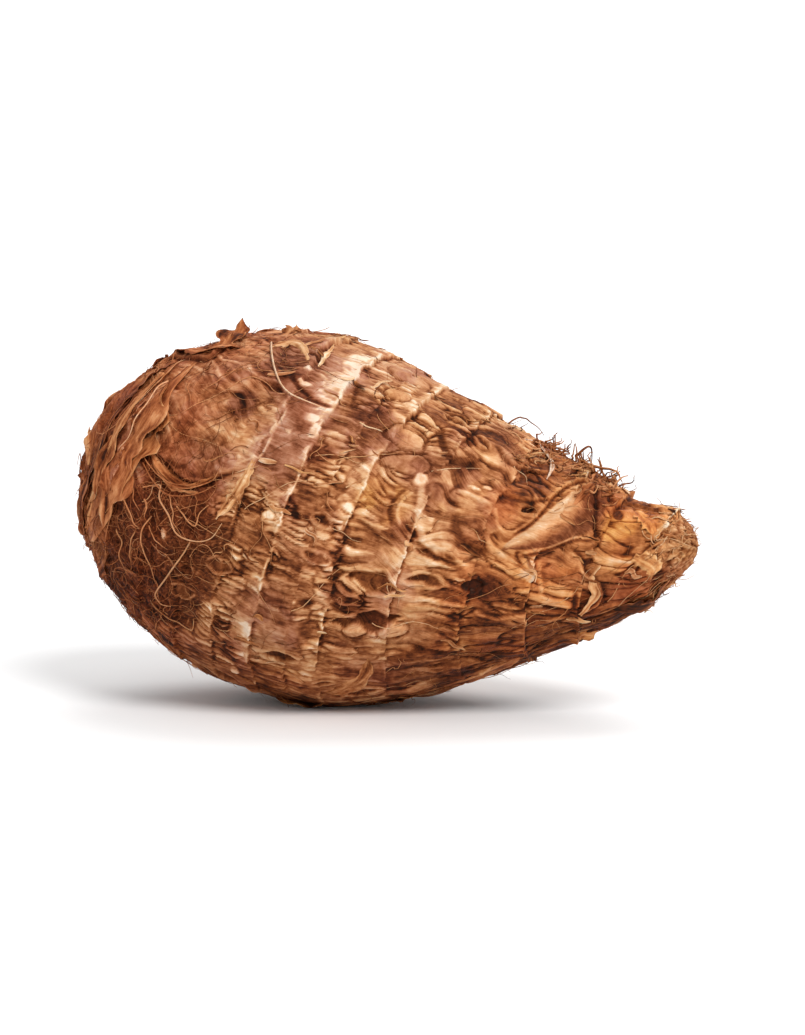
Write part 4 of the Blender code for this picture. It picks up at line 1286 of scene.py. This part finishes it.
# Groups of fibres: how many, steps along one, arc in mm from and to; then for the angle and for the heading in
# radians either (EVEN, from, to) or (NORMAL, middle, spread); from and to for the length in mm, the thickness
# in mm and the curl; rise in mm at the root; rise at the tip from, to, power and factor; light from and to;
# and the hue.
EVEN, NORMAL = range(2)
ROUND = (EVEN, -3.1, 3.1)
FIBRE_GROUPS = (
    # Curly fibres matted over the lower front of the base, and the same, fewer, all round it.
    (130, 24, (32, 62), (NORMAL, math.radians(-10), math.radians(22)), ROUND, (7, 22), (0.10, 0.24),
        (0.6, 1.5), 0.30, (0.0, 0.8, 1, 1.0), (0.16, 0.56), 0.0),
    (130, 20, (16, 58), (EVEN, 0.4, 5.6), (NORMAL, 1.4, 0.9), (8, 24), (0.12, 0.26), (0.3, 1.2),
        0.25, (0.0, 0.8, 1, 1.0), (0.18, 0.58), 0.0),
    # Flat fine fibres on the papery husk over the base.
    (150, 16, (34, 66), (EVEN, -0.2, 3.3), (NORMAL, -0.9, 0.7), (6, 18), (0.10, 0.20), (0.2, 1.0),
        0.06, (0.0, 0.4, 1, 1.0), (0.24, 0.66), 0.0),
    # Streaming fibres round the base's pole.
    (120, 16, (6, 34), ROUND, (NORMAL, 1.57, 0.22), (8, 26), (0.14, 0.32), (0.1, 0.4),
        0.15, (0.0, 0.5, 1, 1.0), (0.20, 0.60), 0.0),
    # Long fibres that lie along the corm.
    (260, 14, (40, 160), ROUND, (NORMAL, -0.1, 0.5), (5, 18), (0.10, 0.26), (0.1, 0.7),
        0.12, (0.0, 0.8, 2, 1.0), (0.20, 0.82), 0.2),
    # Loose hairs that stand off.
    (380, 10, (4, 166), ROUND, ROUND, (2, 8), (0.10, 0.22), (0.4, 1.8),
        -0.1, (0.3, 1.0, 2, 3.2), (0.15, 0.6), 0.2),
    # The tuft on the neck's upper side, in stout and in fine fibres.
    (70, 14, (120, 144), (NORMAL, 1.62, 0.30), (EVEN, -1.8, 1.8), (4, 10), (0.36, 0.80), (0.8, 2.4),
        0.1, (0.3, 1.0, 1, 4.6), (0.26, 0.60), 0.0),
    (50, 12, (112, 146), (NORMAL, 1.62, 0.40), (EVEN, -1.8, 1.8), (3, 8), (0.18, 0.36), (0.8, 2.4),
        0.1, (0.2, 1.0, 1, 3.0), (0.16, 0.50), 0.0),
    # Frayed ends round the stub.
    (120, 8, (159, 169), ROUND, (NORMAL, 0.0, 0.8), (2, 6), (0.16, 0.42), (0.2, 1.2),
        0.0, (0.1, 1.0, 1, 1.8), (0.25, 0.80), 0.2),
    # Stray rootlets that show against the sky line.
    (70, 12, (8, 104), ROUND, ROUND, (3, 9), (0.20, 0.36), (0.5, 2.0),
        0.0, (0.3, 1.0, 2, 3.3), (0.20, 0.6), 0.2),
)


def fibre_groups():
    draw = np.random.default_rng(33)
    ways = {EVEN: draw.uniform, NORMAL: draw.normal}
    groups = [clear_fibres()]
    for count, steps, arcs, turns, headings, *spans, root, tips, lights, hue in FIBRE_GROUPS:
        low, high, power, factor = tips
        arc_mm = draw.uniform(*arcs, count)
        angle, heading = (ways[way](first, second, count) for way, first, second in (turns, headings))
        length, thickness, curl = (draw.uniform(*span, count) for span in spans)
        tip = draw.uniform(low, high, count)[:, None] ** power * factor
        light = draw.uniform(*lights, count)
        paths = wander(arc_mm, angle, heading, length, steps, curl, draw)
        along = np.linspace(0.0, 1.0, steps)[None]
        wave = 0.16 * np.sin(along * draw.uniform(6, 16, (count, 1)) + draw.uniform(0, 6, (count, 1)))
        rise = root + tip * along**1.6 + wave
        groups.append(fibre_tubes(paths, thickness, rise, light, np.full(count, hue)))
    return groups


join_grids("husk_fibres", fibre_groups())


def plain_material(name, colour, roughness):
    """A pale surface that is faintly uneven in colour."""
    material = bpy.data.materials.new(name)
    material.use_nodes = True
    tree = material.node_tree
    shader = tree.nodes["Principled BSDF"]
    shader.inputs["Roughness"].default_value = roughness
    texture = tree.nodes.new("ShaderNodeTexNoise")
    texture.inputs["Scale"].default_value = 3.0
    ramp = tree.nodes.new("ShaderNodeValToRGB")
    ramp.color_ramp.elements[0].color = (*(c * 0.985 for c in colour), 1.0)
    ramp.color_ramp.elements[1].color = (*colour, 1.0)
    tree.links.new(texture.outputs["Fac"], ramp.inputs["Fac"])
    tree.links.new(ramp.outputs["Color"], shader.inputs["Base Color"])
    return material


# The floor lies a hair below the flat spot.
FLOOR_SIZE, FLOOR_LEVEL = 30.0, -0.00005
bpy.ops.mesh.primitive_plane_add(size=FLOOR_SIZE, location=(0.0, 0.0, FLOOR_LEVEL))
floor = bpy.context.object
floor.name = "floor"
floor.data.materials.append(plain_material("pale_floor", (0.90, 0.90, 0.90), 0.7))


def sun_light(name, place, spread, strength):
    """Soft light from far away, from the side where place lies."""
    light = bpy.data.lights.new(name, "SUN")
    light.angle = math.radians(spread)
    light.energy = strength
    lamp = bpy.data.objects.new(name, light)
    lamp.location = place
    lamp.rotation_euler = (-Vector(place)).to_track_quat("-Z", "Y").to_euler()
    bpy.context.scene.collection.objects.link(lamp)


sun_light("key", (0.75, -0.75, 1.0), 26.0, 2.35)
sun_light("top", (0.0, 0.8, 1.2), 40.0, 1.1)

world = bpy.data.worlds.new("studio")
world.use_nodes = True
background = world.node_tree.nodes["Background"]
background.inputs["Color"].default_value = (1.0, 1.0, 1.0, 1.0)
background.inputs["Strength"].default_value = 0.68
bpy.context.scene.world = world
bpy.context.scene.view_settings.view_transform = "Standard"

# The camera stands where the photograph's does, seen from this root.
CAMERA_AZIMUTH, CAMERA_ELEVATION = math.radians(17.0), math.radians(7.0)
CAMERA_DISTANCE = 1.22
LENS = 190.0
LOOK_AT = Vector((0.0137, 0.0042, 0.0415))

camera_data = bpy.data.cameras.new("photo_view")
camera_data.sensor_width = 36.0
camera_data.lens = LENS
camera_data.clip_start, camera_data.clip_end = 0.05, 50.0
camera = bpy.data.objects.new("photo_view", camera_data)
back = Vector(
    (
        math.sin(CAMERA_AZIMUTH) * math.cos(CAMERA_ELEVATION),
        -math.cos(CAMERA_AZIMUTH) * math.cos(CAMERA_ELEVATION),
        math.sin(CAMERA_ELEVATION),
    )
)
camera.location = LOOK_AT + back * CAMERA_DISTANCE
camera.rotation_euler = (-back).to_track_quat("-Z", "Y").to_euler()
bpy.context.scene.collection.objects.link(camera)
bpy.context.scene.camera = camera
